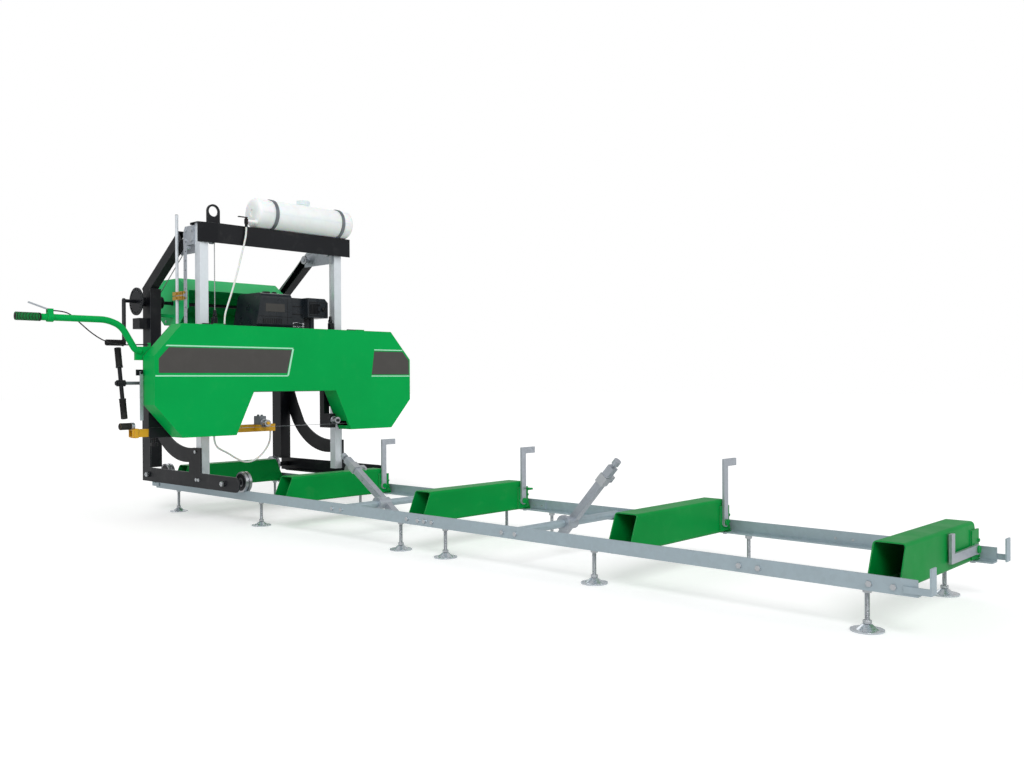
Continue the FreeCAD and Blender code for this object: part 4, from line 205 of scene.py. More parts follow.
@dataclass(frozen=True)
class Paint:
    """Sprayed or powder paint on steel, with patches of dust and bare steel at rubbed edges."""

    name: str
    colour: tuple[float, float, float, float]
    roughness: float = 0.3
    coat: float = 0.3
    mottle: float = 0.12
    wear: float = 0.6
    shine: float = 0.25
    dust: float = 0.1

    def make(self) -> bpy.types.Material:
        """Build the material."""
        coating = Coating(self.name)
        dark = tuple(c * (1 - self.mottle) for c in self.colour[:3]) + (1.0,)
        light = tuple(min(1.0, c * (1 + self.mottle)) for c in self.colour[:3]) + (1.0,)
        body = coating.mixed(coating.spread(coating.noise(3.5, 4), 0.3, 0.7), dark, light)
        dust = coating.spread(coating.noise(14, 5, 0.65), 0.56, 0.8, 0.0, self.dust)
        dusty = coating.mixed(dust, body, tone(170, 168, 158))
        worn = coating.sums("MULTIPLY", coating.rubbed(0.0025), float(self.wear))
        colour = coating.mixed(worn, dusty, tone(140, 145, 148))
        coating.join(colour, coating.shader.inputs["Base Color"])
        smears = coating.spread(coating.noise(9, 4, 0.6), 0.3, 0.75, self.roughness, self.roughness + 0.14)
        coating.join(smears, coating.shader.inputs["Roughness"])
        coating.fixed(Coat_Weight=self.coat, Coat_Roughness=0.12, Metallic=0.0)
        coating.fixed(Specular_IOR_Level=self.shine)
        coating.relief(coating.noise(420, 2), 0.12, 0.0004, coating.edges(0.0016))
        return coating.material


@dataclass(frozen=True)
class Zinc:
    """Zinc on steel: cloudy crystals, dull streaks along the rolling direction and a few scratches."""

    name: str
    colour: tuple[float, float, float, float]
    roughness: float = 0.38
    metallic: float = 0.75
    crystal: float = 55
    streak: tuple[float, float, float] = (1.0, 1.0, 1.0)
    contrast: float = 0.1
    scratch: float = 0.1

    def make(self) -> bpy.types.Material:
        """Build the material."""
        coating = Coating(self.name)
        dark = tuple(c * (1 - self.contrast) for c in self.colour[:3]) + (1.0,)
        light = tuple(min(1.0, c * (1 + self.contrast / 2)) for c in self.colour[:3]) + (1.0,)
        grain = coating.cells(self.crystal).outputs["Color"]
        shade = coating.add("ShaderNodeSeparateColor")
        coating.join(grain, shade.inputs["Color"])
        cloud = coating.noise(6, 4, 0.6, coating.stretched(self.streak))
        both = coating.sums("ADD", coating.sums("MULTIPLY", shade.outputs[0], 0.4),
                            coating.sums("MULTIPLY", cloud, 0.6))
        body = coating.mixed(coating.spread(both, 0.25, 0.75), dark, light)
        stain = coating.spread(coating.noise(5, 5, 0.7), 0.62, 0.8, 0.0, self.contrast)
        coating.join(coating.mixed(stain, body, tone(120, 112, 100)), coating.shader.inputs["Base Color"])
        coating.join(coating.spread(both, 0.2, 0.8, self.roughness - 0.08, self.roughness + 0.16),
                     coating.shader.inputs["Roughness"])
        coating.fixed(Metallic=self.metallic)
        scratches = coating.noise(260, 2, 0.5, coating.stretched((0.08, 1.0, 1.0)))
        coating.relief(scratches, self.scratch, 0.0003, coating.edges(0.0012))
        return coating.material


@dataclass(frozen=True)
class Moulded:
    """Moulded plastic or rubber with a fine pebbled skin and dust in it."""

    name: str
    colour: tuple[float, float, float, float]
    roughness: float = 0.45
    pebble: float = 900
    depth: float = 0.0003
    haze: float = 0.1
    milk: float = 0.0
    shine: float = 0.3

    def make(self) -> bpy.types.Material:
        """Build the material."""
        coating = Coating(self.name)
        haze = coating.spread(coating.noise(12, 5, 0.6), 0.45, 0.8, 0.0, self.haze)
        dull = tone(175, 172, 165) if not self.milk else tone(214, 216, 208)
        coating.join(coating.mixed(haze, self.colour, dull), coating.shader.inputs["Base Color"])
        gloss = coating.spread(coating.noise(20, 3), 0.3, 0.7, self.roughness - 0.06, self.roughness + 0.1)
        coating.join(gloss, coating.shader.inputs["Roughness"])
        coating.fixed(Subsurface_Weight=self.milk, Subsurface_Scale=0.02, Specular_IOR_Level=self.shine)
        pebbles = coating.cells(self.pebble).outputs["Distance"]
        coating.relief(pebbles, 0.18, self.depth, coating.edges(0.0012))
        return coating.material


@dataclass(frozen=True)
class Machined:
    """Turned or ground metal with fine tool marks."""

    name: str
    colour: tuple[float, float, float, float]
    roughness: float = 0.25
    marks: tuple[float, float, float] = (1.0, 1.0, 1.0)

    def make(self) -> bpy.types.Material:
        """Build the material."""
        coating = Coating(self.name)
        lines = coating.noise(380, 3, 0.6, coating.stretched(self.marks))
        dark = tuple(c * 0.7 for c in self.colour[:3]) + (1.0,)
        film = coating.mixed(coating.spread(coating.noise(18, 4), 0.35, 0.75), self.colour, dark)
        coating.join(coating.mixed(coating.spread(lines, 0.3, 0.7, 0.0, 0.35), film, dark),
                     coating.shader.inputs["Base Color"])
        coating.join(coating.spread(lines, 0.3, 0.7, self.roughness, self.roughness + 0.15),
                     coating.shader.inputs["Roughness"])
        coating.fixed(Metallic=0.9)
        coating.relief(lines, 0.15, 0.0002, coating.edges(0.001))
        return coating.material


@dataclass(frozen=True)
class Cast:
    """Sand cast or die cast metal, grainy and slightly oily."""

    name: str
    colour: tuple[float, float, float, float]
    roughness: float = 0.55
    metallic: float = 0.6

    def make(self) -> bpy.types.Material:
        """Build the material."""
        coating = Coating(self.name)
        grain = coating.noise(700, 3, 0.7)
        dark = tuple(c * 0.6 for c in self.colour[:3]) + (1.0,)
        body = coating.mixed(coating.spread(coating.noise(11, 5, 0.65), 0.35, 0.7), dark, self.colour)
        coating.join(body, coating.shader.inputs["Base Color"])
        oily = coating.spread(coating.noise(25, 4), 0.3, 0.7, self.roughness - 0.1, self.roughness + 0.12)
        coating.join(oily, coating.shader.inputs["Roughness"])
        coating.fixed(Metallic=self.metallic)
        coating.relief(grain, 0.35, 0.0006, coating.edges(0.002))
        return coating.material


@dataclass(frozen=True)
class WireRope:
    """Steel wire rope: bright strands that wind along Z or along the run, with painted shade in the grooves
    between them.
    """

    name: str
    colour: tuple[float, float, float, float]

    def make(self) -> bpy.types.Material:
        """Build the material."""
        coating = Coating(self.name)
        wave = coating.add("ShaderNodeTexWave", wave_type="BANDS", bands_direction="DIAGONAL")
        wave.inputs["Scale"].default_value = 60
        wave.inputs["Distortion"].default_value = 0.4
        coating.join(coating.where, wave.inputs["Vector"])
        lay = wave.outputs["Fac"]
        # The bands' low parts are darkened to a third: painted shade in the grooves between strands.
        dark = tuple(c * 0.35 for c in self.colour[:3]) + (1.0,)
        coating.join(coating.mixed(lay, dark, self.colour), coating.shader.inputs["Base Color"])
        coating.fixed(Metallic=0.7, Roughness=0.35)
        coating.relief(lay, 0.6, 0.0008)
        return coating.material


FINISHES = {
    "green": Paint("gloss_green_paint", tone(0, 164, 76), 0.32, 0.03, 0.05, 0.25, 0.05, 0.015),
    # The hood's green is a lighter copy of the cover's green: painted light on the hood.
    "lit_hood_green": Paint("hood_green_painted_light", tone(24, 178, 98), 0.3, 0.06, 0.06, 0.3, 0.1, 0.03),
    # The bunks' green is a darker copy of the cover's green: painted shade on the bunks and their weld
    # beads.
    "shaded_bunk_green": Paint("bunk_green_painted_shade", tone(0, 141, 60), 0.34, 0.04, 0.08, 0.4, 0.06, 0.03),
    "black": Paint("satin_black_paint", tone(17, 19, 24), 0.34, 0.05, 0.25, 0.45, 0.2, 0.05),
    "yellow": Paint("yellow_paint", tone(214, 160, 26), 0.36, 0.15, 0.08, 0.5, 0.25, 0.08),
    "rail_zinc": Zinc("rail_zinc", tone(168, 184, 192), 0.42, 0.5, 60, (0.25, 3.0, 3.0), 0.08, 0.05),
    "post_zinc": Zinc("post_zinc", tone(222, 228, 234), 0.34, 0.45, 40, (3.0, 3.0, 0.3), 0.04, 0.01),
    "plain_zinc": Zinc("fittings_zinc", tone(176, 182, 190), 0.34, 0.6, 90, (1.0, 1.0, 1.0), 0.12),
    "pad_zinc": Zinc("pad_zinc", tone(216, 222, 228), 0.2, 0.8, 120, (1.0, 1.0, 1.0), 0.08, 0.02),
    "dull_zinc": Zinc("dull_zinc", tone(120, 126, 132), 0.42, 0.6, 90, (1.0, 1.0, 1.0), 0.12),
    "bolt_zinc": Zinc("bolt_zinc", tone(190, 194, 198), 0.3, 0.75, 160, (1.0, 1.0, 1.0), 0.1),
    "tank_milk": Moulded("milky_tank_plastic", tone(245, 249, 249), 0.42, 500, 0.0003, 0.3, 0.25, 0.4),
    "hose_milk": Moulded("milky_hose_plastic", tone(224, 228, 224), 0.35, 600, 0.0001, 0.3, 0.2, 0.4),
    "black_plastic": Moulded("black_plastic", tone(19, 20, 23), 0.42, 900, 0.0003, 0.05, 0.0, 0.25),
    "cowl_plastic": Moulded("cowl_plastic", tone(26, 33, 40), 0.3, 700, 0.0002, 0.04, 0.0, 0.35),
    "rubber": Moulded("black_rubber", tone(17, 17, 18), 0.62, 500, 0.0005, 0.08, 0.0, 0.2),
    "cable_skin": Moulded("cable_skin", tone(16, 16, 18), 0.4, 800, 0.0001, 0.05, 0.0, 0.25),
    "label_grey": Moulded("panel_grey_film", tone(70, 68, 66), 0.4, 1200, 0.0001, 0.02),
    # Pale mint for the wheel cover's edge strips: a painted highlight of the cover's bends.
    "edge_highlight_mint": Moulded("painted_edge_highlight", tone(172, 236, 202), 0.4, 1200, 0.0001, 0.15, 0.05),
    "steel": Machined("turned_steel", tone(190, 193, 198), 0.24, (1.0, 0.1, 1.0)),
    "blade": Machined("band_steel", tone(160, 164, 170), 0.28, (1.0, 0.15, 1.0)),
    "brass": Machined("brass", tone(205, 165, 75), 0.26),
    "chrome": Machined("chrome", tone(225, 228, 232), 0.12),
    "cast_alloy": Cast("crankcase_alloy", tone(96, 98, 102), 0.5, 0.6),
    "fin_alloy": Cast("fin_alloy", tone(128, 130, 134), 0.45, 0.7),
    "cast_iron": Cast("wheel_casting", tone(128, 130, 132), 0.5, 0.7),
    "muffler": Cast("muffler_steel", tone(82, 78, 74), 0.5, 0.7),
    "rope": WireRope("wire_rope", tone(200, 203, 205)),
}


class Paintbox:
    """Makes each finish once and gives it to pieces and nodes."""

    def __init__(self) -> None:
        """Start with no material made."""
        self.made: dict[str, bpy.types.Material] = {}

    def get(self, finish: str) -> bpy.types.Material:
        """The material of a finish."""
        if finish not in self.made:
            self.made[finish] = FINISHES[finish].make()
        return self.made[finish]

    def coat(self, piece: bpy.types.Object, finish: str) -> None:
        """Give a whole piece or node one finish."""
        material = self.get(finish)
        if not piece.material_slots:
            piece.data.materials.append(material)
        for slot in piece.material_slots:
            slot.material = material


PAINT = Paintbox()

NODE_FINISHES = {
    "black": ("side_frame_left", "side_frame_right", "rear_columns", "top_braces", "top_beam",
              "winch_bearings", "winch_crank", "head_frame", "tension_handle"),
    "green": ("wheel_cover", "push_handle"),
    "lit_hood_green": ("winch_hood",),
    "shaded_bunk_green": ("bunks",),
    "yellow": ("guide_arm",),
    "rail_zinc": ("front_rail", "rear_rail", "rail_fittings", "cross_bars"),
    "post_zinc": ("front_posts",),
    "plain_zinc": ("log_rest_1", "log_rest_2", "log_rest_3", "log_rest_4", "clamp_post_1", "clamp_post_2",
                   "gusset_plates", "ruler_bar", "cover_latch", "throttle_lever"),
    "pad_zinc": ("foot_pads",),
    "dull_zinc": ("tank_straps",),
    "bolt_zinc": ("track_bolts", "carriage_bolts", "clamp_dog_1", "clamp_dog_2"),
    "steel": ("front_rollers", "rear_rollers", "rear_sheaves", "beam_sheaves", "engine_pulley",
              "idler_block", "guide_roller_left", "guide_roller_right"),
    "rope": ("lift_ropes_upper", "lift_ropes_lower"),
    "cast_alloy": ("engine_block",),
    "cast_iron": ("drive_wheel", "idler_wheel"),
    "cowl_plastic": ("engine_cover",),
    "black_plastic": ("tank_valve_lever", "arm_lock_knob"),
    "rubber": ("drive_belt",),
}


# Modelling steps shared by the pieces


def clear() -> None:
    """Leave edit mode and select nothing."""
    if bpy.context.mode != "OBJECT":
        bpy.ops.object.mode_set(mode="OBJECT")
    bpy.ops.object.select_all(action="DESELECT")


def pick(piece: bpy.types.Object) -> bpy.types.Object:
    """Select one piece alone and make it active."""
    clear()
    bpy.context.view_layer.objects.active = piece
    piece.select_set(True)
    return piece


def settle(piece: bpy.types.Object) -> bpy.types.Object:
    """Put the place and size of a piece into its mesh."""
    pick(piece)
    bpy.ops.object.transform_apply(location=True, rotation=True, scale=True)
    return piece


def modify(piece: bpy.types.Object, kind: str, **values: object) -> bpy.types.Object:
    """Apply one modifier to a piece.

    Args:
        piece: The mesh to change.
        kind: The modifier's type.
        values: Its settings.

    Returns:
        The same piece.
    """
    pick(piece)
    modifier = piece.modifiers.new(kind.lower(), kind)
    for key, value in values.items():
        setattr(modifier, key, value)
    bpy.ops.object.modifier_apply(modifier=modifier.name)
    return piece


def edged(piece: bpy.types.Object, width: float, segments: int = 2,
          angle: float = 35) -> bpy.types.Object:
    """Round the sharp edges of a piece by so many millimetres."""
    return modify(piece, "BEVEL", width=width * MM, segments=segments, limit_method="ANGLE",
                  angle_limit=math.radians(angle), harden_normals=False)


def smooth(piece: bpy.types.Object, angle: float = 35) -> bpy.types.Object:
    """Shade a piece smooth, but for edges sharper than an angle."""
    pick(piece)
    bpy.ops.object.shade_smooth_by_angle(angle=math.radians(angle))
    return piece


def outward() -> None:
    """Merge doubles and turn all faces of the piece in edit mode outwards."""
    bpy.ops.mesh.select_all(action="SELECT")
    bpy.ops.mesh.remove_doubles(threshold=1e-5)
    bpy.ops.mesh.normals_make_consistent(inside=False)
    bpy.ops.object.mode_set(mode="OBJECT")


def spot(axis: Axis, along: float, one: float, other: float) -> Vector:
    """A point by its place along an axis and its two others in order, in millimetres."""
    if axis is Axis.X:
        return place(along, one, other)
    if axis is Axis.Y:
        return place(one, along, other)
    return place(one, other, along)


def block(name: str, low: tuple, high: tuple) -> bpy.types.Object:
    """A box between two corners, to be shaped further."""
    clear()
    corners = place(*low), place(*high)
    bpy.ops.mesh.primitive_cube_add(size=1, location=(corners[0] + corners[1]) / 2)
    piece = bpy.context.active_object
    piece.name = name
    piece.scale = corners[1] - corners[0]
    return settle(piece)


def drum(name: str, axis: Axis, centre: tuple, radius: float, span: tuple,
         sides: int = 40) -> bpy.types.Object:
    """A cylinder along an axis.

    Args:
        name: The piece's name.
        axis: Its direction.
        centre: Its place across the axis.
        radius: Its radius.
        span: Where it starts and ends along the axis.
        sides: Faces round it.

    Returns:
        The new piece.
    """
    clear()
    depth = abs(span[1] - span[0]) * MM
    bpy.ops.mesh.primitive_cylinder_add(vertices=sides, radius=radius * MM, depth=depth)
    piece = bpy.context.active_object
    piece.name = name
    piece.rotation_mode = "QUATERNION"
    piece.rotation_quaternion = axis.value.to_track_quat("Z", "Y")
    piece.location = spot(axis, (span[0] + span[1]) / 2, *centre)
    return settle(piece)


def placed(name: str, data: bpy.types.ID) -> bpy.types.Object:
    """A new object of the scene that shows a mesh, a curve, a lamp or a camera."""
    piece = bpy.data.objects.new(name, data)
    bpy.context.scene.collection.objects.link(piece)
    return piece


def sheet_of(name: str, corners: list[Vector]) -> bpy.types.Object:
    """One face through corners, as a new piece."""
    mesh = bpy.data.meshes.new(name)
    mesh.from_pydata(corners, [], [range(len(corners))])
    piece = placed(name, mesh)
    return piece


def prism(name: str, axis: Axis, outline: list[tuple], span: tuple) -> bpy.types.Object:
    """A plate with a given outline, extruded along an axis."""
    piece = sheet_of(name, [spot(axis, span[0], *corner) for corner in outline])
    pick(piece)
    bpy.ops.object.mode_set(mode="EDIT")
    bpy.ops.mesh.select_all(action="SELECT")
    way = axis.value * (span[1] - span[0]) * MM
    bpy.ops.mesh.extrude_region_move(TRANSFORM_OT_translate={"value": way})
    outward()
    return piece


def turned(name: str, axis: Axis, centre: tuple, profile: list[tuple], steps: int = 48) -> bpy.types.Object:
    """A turned piece.

    Args:
        name: The piece's name.
        axis: The axis that it is turned round.
        centre: The axis's place across it.
        profile: Radius and place along the axis of each point, ends closed at radius 0 or left open.
        steps: Faces round it.

    Returns:
        The new piece.
    """
    mesh = bpy.data.meshes.new(name)
    aside = Axis.Z.value if axis is not Axis.Z else Axis.X.value
    points = [spot(axis, along, *centre) + aside * radius * MM for radius, along in profile]
    mesh.from_pydata(points, [(i, i + 1) for i in range(len(points) - 1)], [])
    piece = placed(name, mesh)
    pick(piece)
    bpy.ops.object.mode_set(mode="EDIT")
    bpy.ops.mesh.select_all(action="SELECT")
    bpy.ops.mesh.spin(steps=steps, angle=math.tau, center=spot(axis, 0, *centre), axis=axis.value)
    outward()
    return piece


def bent_rod(name: str, points: list[tuple], radius: float, sides: int = 4, closed: bool = False,
             straight: bool = False) -> bpy.types.Object:
    """A rigid rod or pipe along points, made a mesh with filled ends."""
    curve = bpy.data.curves.new(name, "CURVE")
    curve.dimensions = "3D"
    curve.bevel_depth = radius * MM
    curve.bevel_resolution = sides
    curve.use_fill_caps = not closed
    run = curve.splines.new("POLY" if straight else "NURBS")
    run.points.add(len(points) - 1)
    for target, point in zip(run.points, points):
        target.co = (*place(*point), 1)
    run.use_cyclic_u = closed
    if not straight:
        run.order_u = 3
        run.use_endpoint_u = not closed
        run.resolution_u = 8
    piece = placed(name, curve)
    pick(piece)
    bpy.ops.object.convert(target="MESH")
    return bpy.context.active_object


def copied(piece: bpy.types.Object, name: str, change: Matrix) -> bpy.types.Object:
    """A copy of a piece with its own mesh, moved in its mesh."""
    mesh = piece.data.copy()
    mesh.transform(change)
    if change.determinant() < 0:
        mesh.flip_normals()
    twin = placed(name, mesh)
    return twin


def moved(x: float = 0, y: float = 0, z: float = 0) -> Matrix:
    """A shift in millimetres."""
    return Matrix.Translation(place(x, y, z))


def swung(axis: Axis, degrees: float, about: tuple) -> Matrix:
    """A turn about an axis through a point in millimetres."""
    pivot = place(*about)
    return Matrix.Translation(pivot) @ Matrix.Rotation(math.radians(degrees), 4, axis.value) \
        @ Matrix.Translation(-pivot)


def joined(name: str, pieces: list[bpy.types.Object]) -> bpy.types.Object:
    """Several meshes as one piece."""
    clear()
    for piece in pieces:
        piece.select_set(True)
    bpy.context.view_layer.objects.active = pieces[0]
    bpy.ops.object.join()
    pieces[0].name = name
    return pieces[0]


def done(piece: bpy.types.Object, finish: str, body: str,
         replaces: tuple = ()) -> bpy.types.Object:
    """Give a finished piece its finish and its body.

    Args:
        piece: The piece.
        finish: Its finish.
        body: The body that it rides on.
        replaces: The nodes that it stands for.

    Returns:
        The same piece.
    """
    PAINT.coat(piece, finish)
    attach(piece, body)
    if replaces:
        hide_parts(*replaces)
    LOG.info("%s rides on %s in %s", piece.name, body, finish)
    return piece


def hex_head(name: str, axis: Axis, centre: tuple, flat: float, span: tuple) -> bpy.types.Object:
    """A bolt head with its corners turned off."""
    head = drum(name, axis, centre, flat / math.sqrt(3), span, 6)
    return edged(head, min(1.2, flat * 0.06), 2, 50)


# Studio


@dataclass
class Studio:
    """Floor, lamps, world and camera."""

    floor_half: float = 40.0
    eye: tuple = (3.2265, -3.16219, 0.75)
    yaw: float = math.degrees(0.824844377768177)
    pitch: float = math.degrees(-0.0036380419098040622)
    roll: float = math.degrees(-0.005524653678239594)
    focal_px: float = 972.3445729787817
    photo_wide: int = 1024
    floor_colour: tuple = (0.9, 0.9, 0.9, 1)
    floor_glow: float = 0.28
    room_light: float = 0.55

    def floor(self) -> None:
        """A wide white floor that keeps the object's shadow."""
        clear()
        bpy.ops.mesh.primitive_plane_add(size=self.floor_half * 2)
        floor = bpy.context.active_object
        floor.name = "pale_floor"
        coating = Coating("pale_floor_paint")
        coating.fixed(Roughness=0.9, Specular_IOR_Level=0.0)
        coating.shader.inputs["Base Color"].default_value = self.floor_colour
        seen = coating.add("ShaderNodeLightPath").outputs["Is Camera Ray"]
        glow = coating.add("ShaderNodeEmission")
        coating.join(coating.sums("MULTIPLY", seen, self.floor_glow), glow.inputs["Strength"])
        both = coating.add("ShaderNodeAddShader")
        coating.join(coating.shader.outputs[0], both.inputs[0])
        coating.join(glow.outputs[0], both.inputs[1])
        coating.join(both.outputs[0], coating.tree.nodes["Material Output"].inputs["Surface"])
        floor.data.materials.append(coating.material)

    def lamp(self, name: str, spot_at: tuple, target: tuple, degrees: float, strength: float) -> None:
        """A far lamp with soft edged shadows, as bright near as far."""
        data = bpy.data.lights.new(name, "SUN")
        data.angle = math.radians(degrees)
        data.energy = strength
        lamp = placed(name, data)
        lamp.location = spot_at
        lamp.rotation_euler = (Vector(target) - Vector(spot_at)).to_track_quat("-Z", "Y").to_euler()

    def light(self) -> None:
        """Plain soft light from all round, with a key from the camera's left and above."""
        world = bpy.data.worlds.new("pale_room")
        bpy.context.scene.world = world
        world.use_nodes = True
        tree = world.node_tree
        back = tree.nodes["Background"]
        path = tree.nodes.new("ShaderNodeLightPath")
        strength = tree.nodes.new("ShaderNodeMapRange")
        strength.inputs["To Min"].default_value = self.room_light
        strength.inputs["To Max"].default_value = 1.0
        tree.links.new(path.outputs["Is Camera Ray"], strength.inputs["Value"])
        tree.links.new(strength.outputs["Result"], back.inputs["Strength"])
        back.inputs["Color"].default_value = (1, 1, 1, 1)
        self.lamp("key_lamp", (4.5, -6.0, 7.0), (-0.8, 0, 0.6), 28, 1.35)
        self.lamp("fill_lamp", (6.0, 3.0, 4.0), (-0.8, 0, 0.6), 40, 0.35)
        self.lamp("back_lamp", (-7.0, 3.0, 5.0), (-1.2, 0, 0.8), 40, 0.35)

    def camera(self) -> None:
        """The camera at the photograph's place, height and angle."""
        data = bpy.data.cameras.new("view")
        data.sensor_width = 36.0
        data.lens = data.sensor_width * self.focal_px / self.photo_wide
        data.clip_end = 200
        camera = placed("view", data)
        yaw, pitch, roll = (math.radians(v) for v in (self.yaw, self.pitch, self.roll))
        ahead = Vector((-math.cos(yaw) * math.cos(pitch), math.sin(yaw) * math.cos(pitch), math.sin(pitch)))
        right = ahead.cross(Vector((0, 0, 1))).normalized()
        above = right.cross(ahead)
        right, above = (right * math.cos(roll) + above * math.sin(roll),
                        above * math.cos(roll) - right * math.sin(roll))
        camera.matrix_world = Matrix((right, above, -ahead)).transposed().to_4x4()
        camera.location = self.eye
        bpy.context.scene.camera = camera

    def build(self) -> None:
        """Set the stage."""
        self.floor()
        self.light()
        self.camera()
        bpy.context.scene.view_settings.view_transform = "Standard"


# Hoses and cable


@dataclass(frozen=True)
class Line:
    """A free hose or cable along the route that its solid follows."""

    node: str
    name: str
    route: tuple
    diameter: float
    length: float
    finish: str
    slot: str
    body: str
    stiffness: str
    lay: str

    def build(self) -> bpy.types.Object:
        """A smooth curve through the route."""
        curve = bpy.data.curves.new(self.name, "CURVE")
        curve.dimensions = "3D"
        curve.bevel_depth = self.diameter / 2
        curve.bevel_resolution = 5
        curve.use_fill_caps = True
        run = curve.splines.new("NURBS")
        run.points.add(len(self.route) - 1)
        for target, point in zip(run.points, self.route):
            target.co = (*point, 1)
        run.order_u = 3
        run.use_endpoint_u = True
        run.resolution_u = 12
        piece = placed(self.name, curve)
        done(piece, self.finish, self.body, (self.node,))
        return piece


LINES = (
    Line("coolant_hose", "coolant_hose_line",
         ((-1.497, -0.207, 1.606), (-1.497, -0.207, 1.573), (-1.494, -0.220, 1.520), (-1.488, -0.248, 1.430),
          (-1.481, -0.280, 1.330), (-1.473, -0.315, 1.235), (-1.465, -0.347, 1.158), (-1.460, -0.367, 1.104),
          (-1.460, -0.367, 1.062)),
         0.010, 0.572, "hose_milk", "white_plastic", "carriage", "medium", "hanging"),
    Line("coolant_loop", "coolant_loop_line",
         ((-1.453, -0.438, 0.469), (-1.453, -0.438, 0.432), (-1.454, -0.415, 0.395), (-1.457, -0.358, 0.370),
          (-1.460, -0.300, 0.333), (-1.463, -0.240, 0.308), (-1.466, -0.180, 0.318), (-1.469, -0.128, 0.352),
          (-1.471, -0.092, 0.395), (-1.471, -0.078, 0.434), (-1.471, -0.078, 0.4746)),
         0.010, 0.532, "hose_milk", "white_plastic", "head", "medium", "hanging"),
    Line("throttle_cable", "throttle_cable_line",
         ((-1.450, -1.273, 1.090), (-1.450, -1.238, 1.090), (-1.464, -1.186, 1.080), (-1.480, -1.136, 1.042),
          (-1.482, -1.080, 0.994), (-1.480, -1.018, 0.955), (-1.479, -0.950, 0.938), (-1.477, -0.893, 0.938),
          (-1.457, -0.838, 0.941), (-1.457, -0.800, 0.941)),
         0.006, 0.522, "cable_skin", "black_plastic", "head", "medium", "loose"),
)


# Sub-assemblies


@dataclass
class Track:
    """Rails, bunks, screws and pads of the bed."""

    feet: tuple = ((-2039, -326), (-2039, 326), (-1181, -326), (-1181, 326), (-72, -326), (-37, 326),
                   (216, -326), (254.5, 326), (1014, -326), (1285, 326), (2039, -326), (2039, 326))
    bunks: tuple = (-2030, -990, 45, 1140, 2095)
    screw_low: float = 21.0
    screw_high: float = 131.0
    screw_radius: float = 8.0
    pitch: float = 2.5
    nut_flat: float = 24.0
    nut_high: float = 114.0
    nut_tall: float = 13.0

    def screw(self) -> bpy.types.Object:
        """One levelling screw at the origin: a threaded rod with a nut and a lock nut."""
        thread = [(0.0, self.screw_low), (self.screw_radius - 1, self.screw_low)]
        z = self.screw_low + self.pitch / 2
        while z < self.screw_high - self.pitch:
            thread += [(self.screw_radius, z), (self.screw_radius - 1.3, z + self.pitch / 2)]
            z += self.pitch
        thread += [(self.screw_radius - 1, self.screw_high), (0.0, self.screw_high)]
        rod = smooth(turned("screw_thread", Axis.Z, (0, 0), thread, 20), 50)
        nut_span = (self.nut_high, self.nut_high + self.nut_tall)
        nut = hex_head("screw_nut", Axis.Z, (0, 0), self.nut_flat, nut_span)
        lock = hex_head("screw_lock_nut", Axis.Z, (0, 0), self.nut_flat,
                        (self.screw_low + 2, self.screw_low + 12))
        return joined("screw_master", [rod, nut, lock])

    def screws(self) -> None:
        """The twelve levelling screws."""
        master = self.screw()
        twins = [copied(master, f"screw_{i}", moved(*foot)) for i, foot in enumerate(self.feet)]
        bpy.data.objects.remove(master)
        done(joined("levelling_screws", twins), "bolt_zinc", "track", ("jack_screws",))

    def welds(self) -> None:
        """Weld beads along the foot of each bunk's ends, on the rails' flanges."""
        beads = []
        for x in self.bunks:
            for side in (-1, 1):
                for edge in (-51, 51):
                    run = [(x + edge, side * y, 133.5 + wave) for y, wave in
                           ((314, 0), (322, 0.8), (331, 0), (340, 0.8), (350, 0))]
                    beads.append(bent_rod("bead", run, 2.6, 2))
        done(smooth(joined("bunk_weld_beads", beads), 80), "shaded_bunk_green", "track")

    def build(self) -> None:
        """Add the track's pieces."""
        self.screws()
        self.welds()


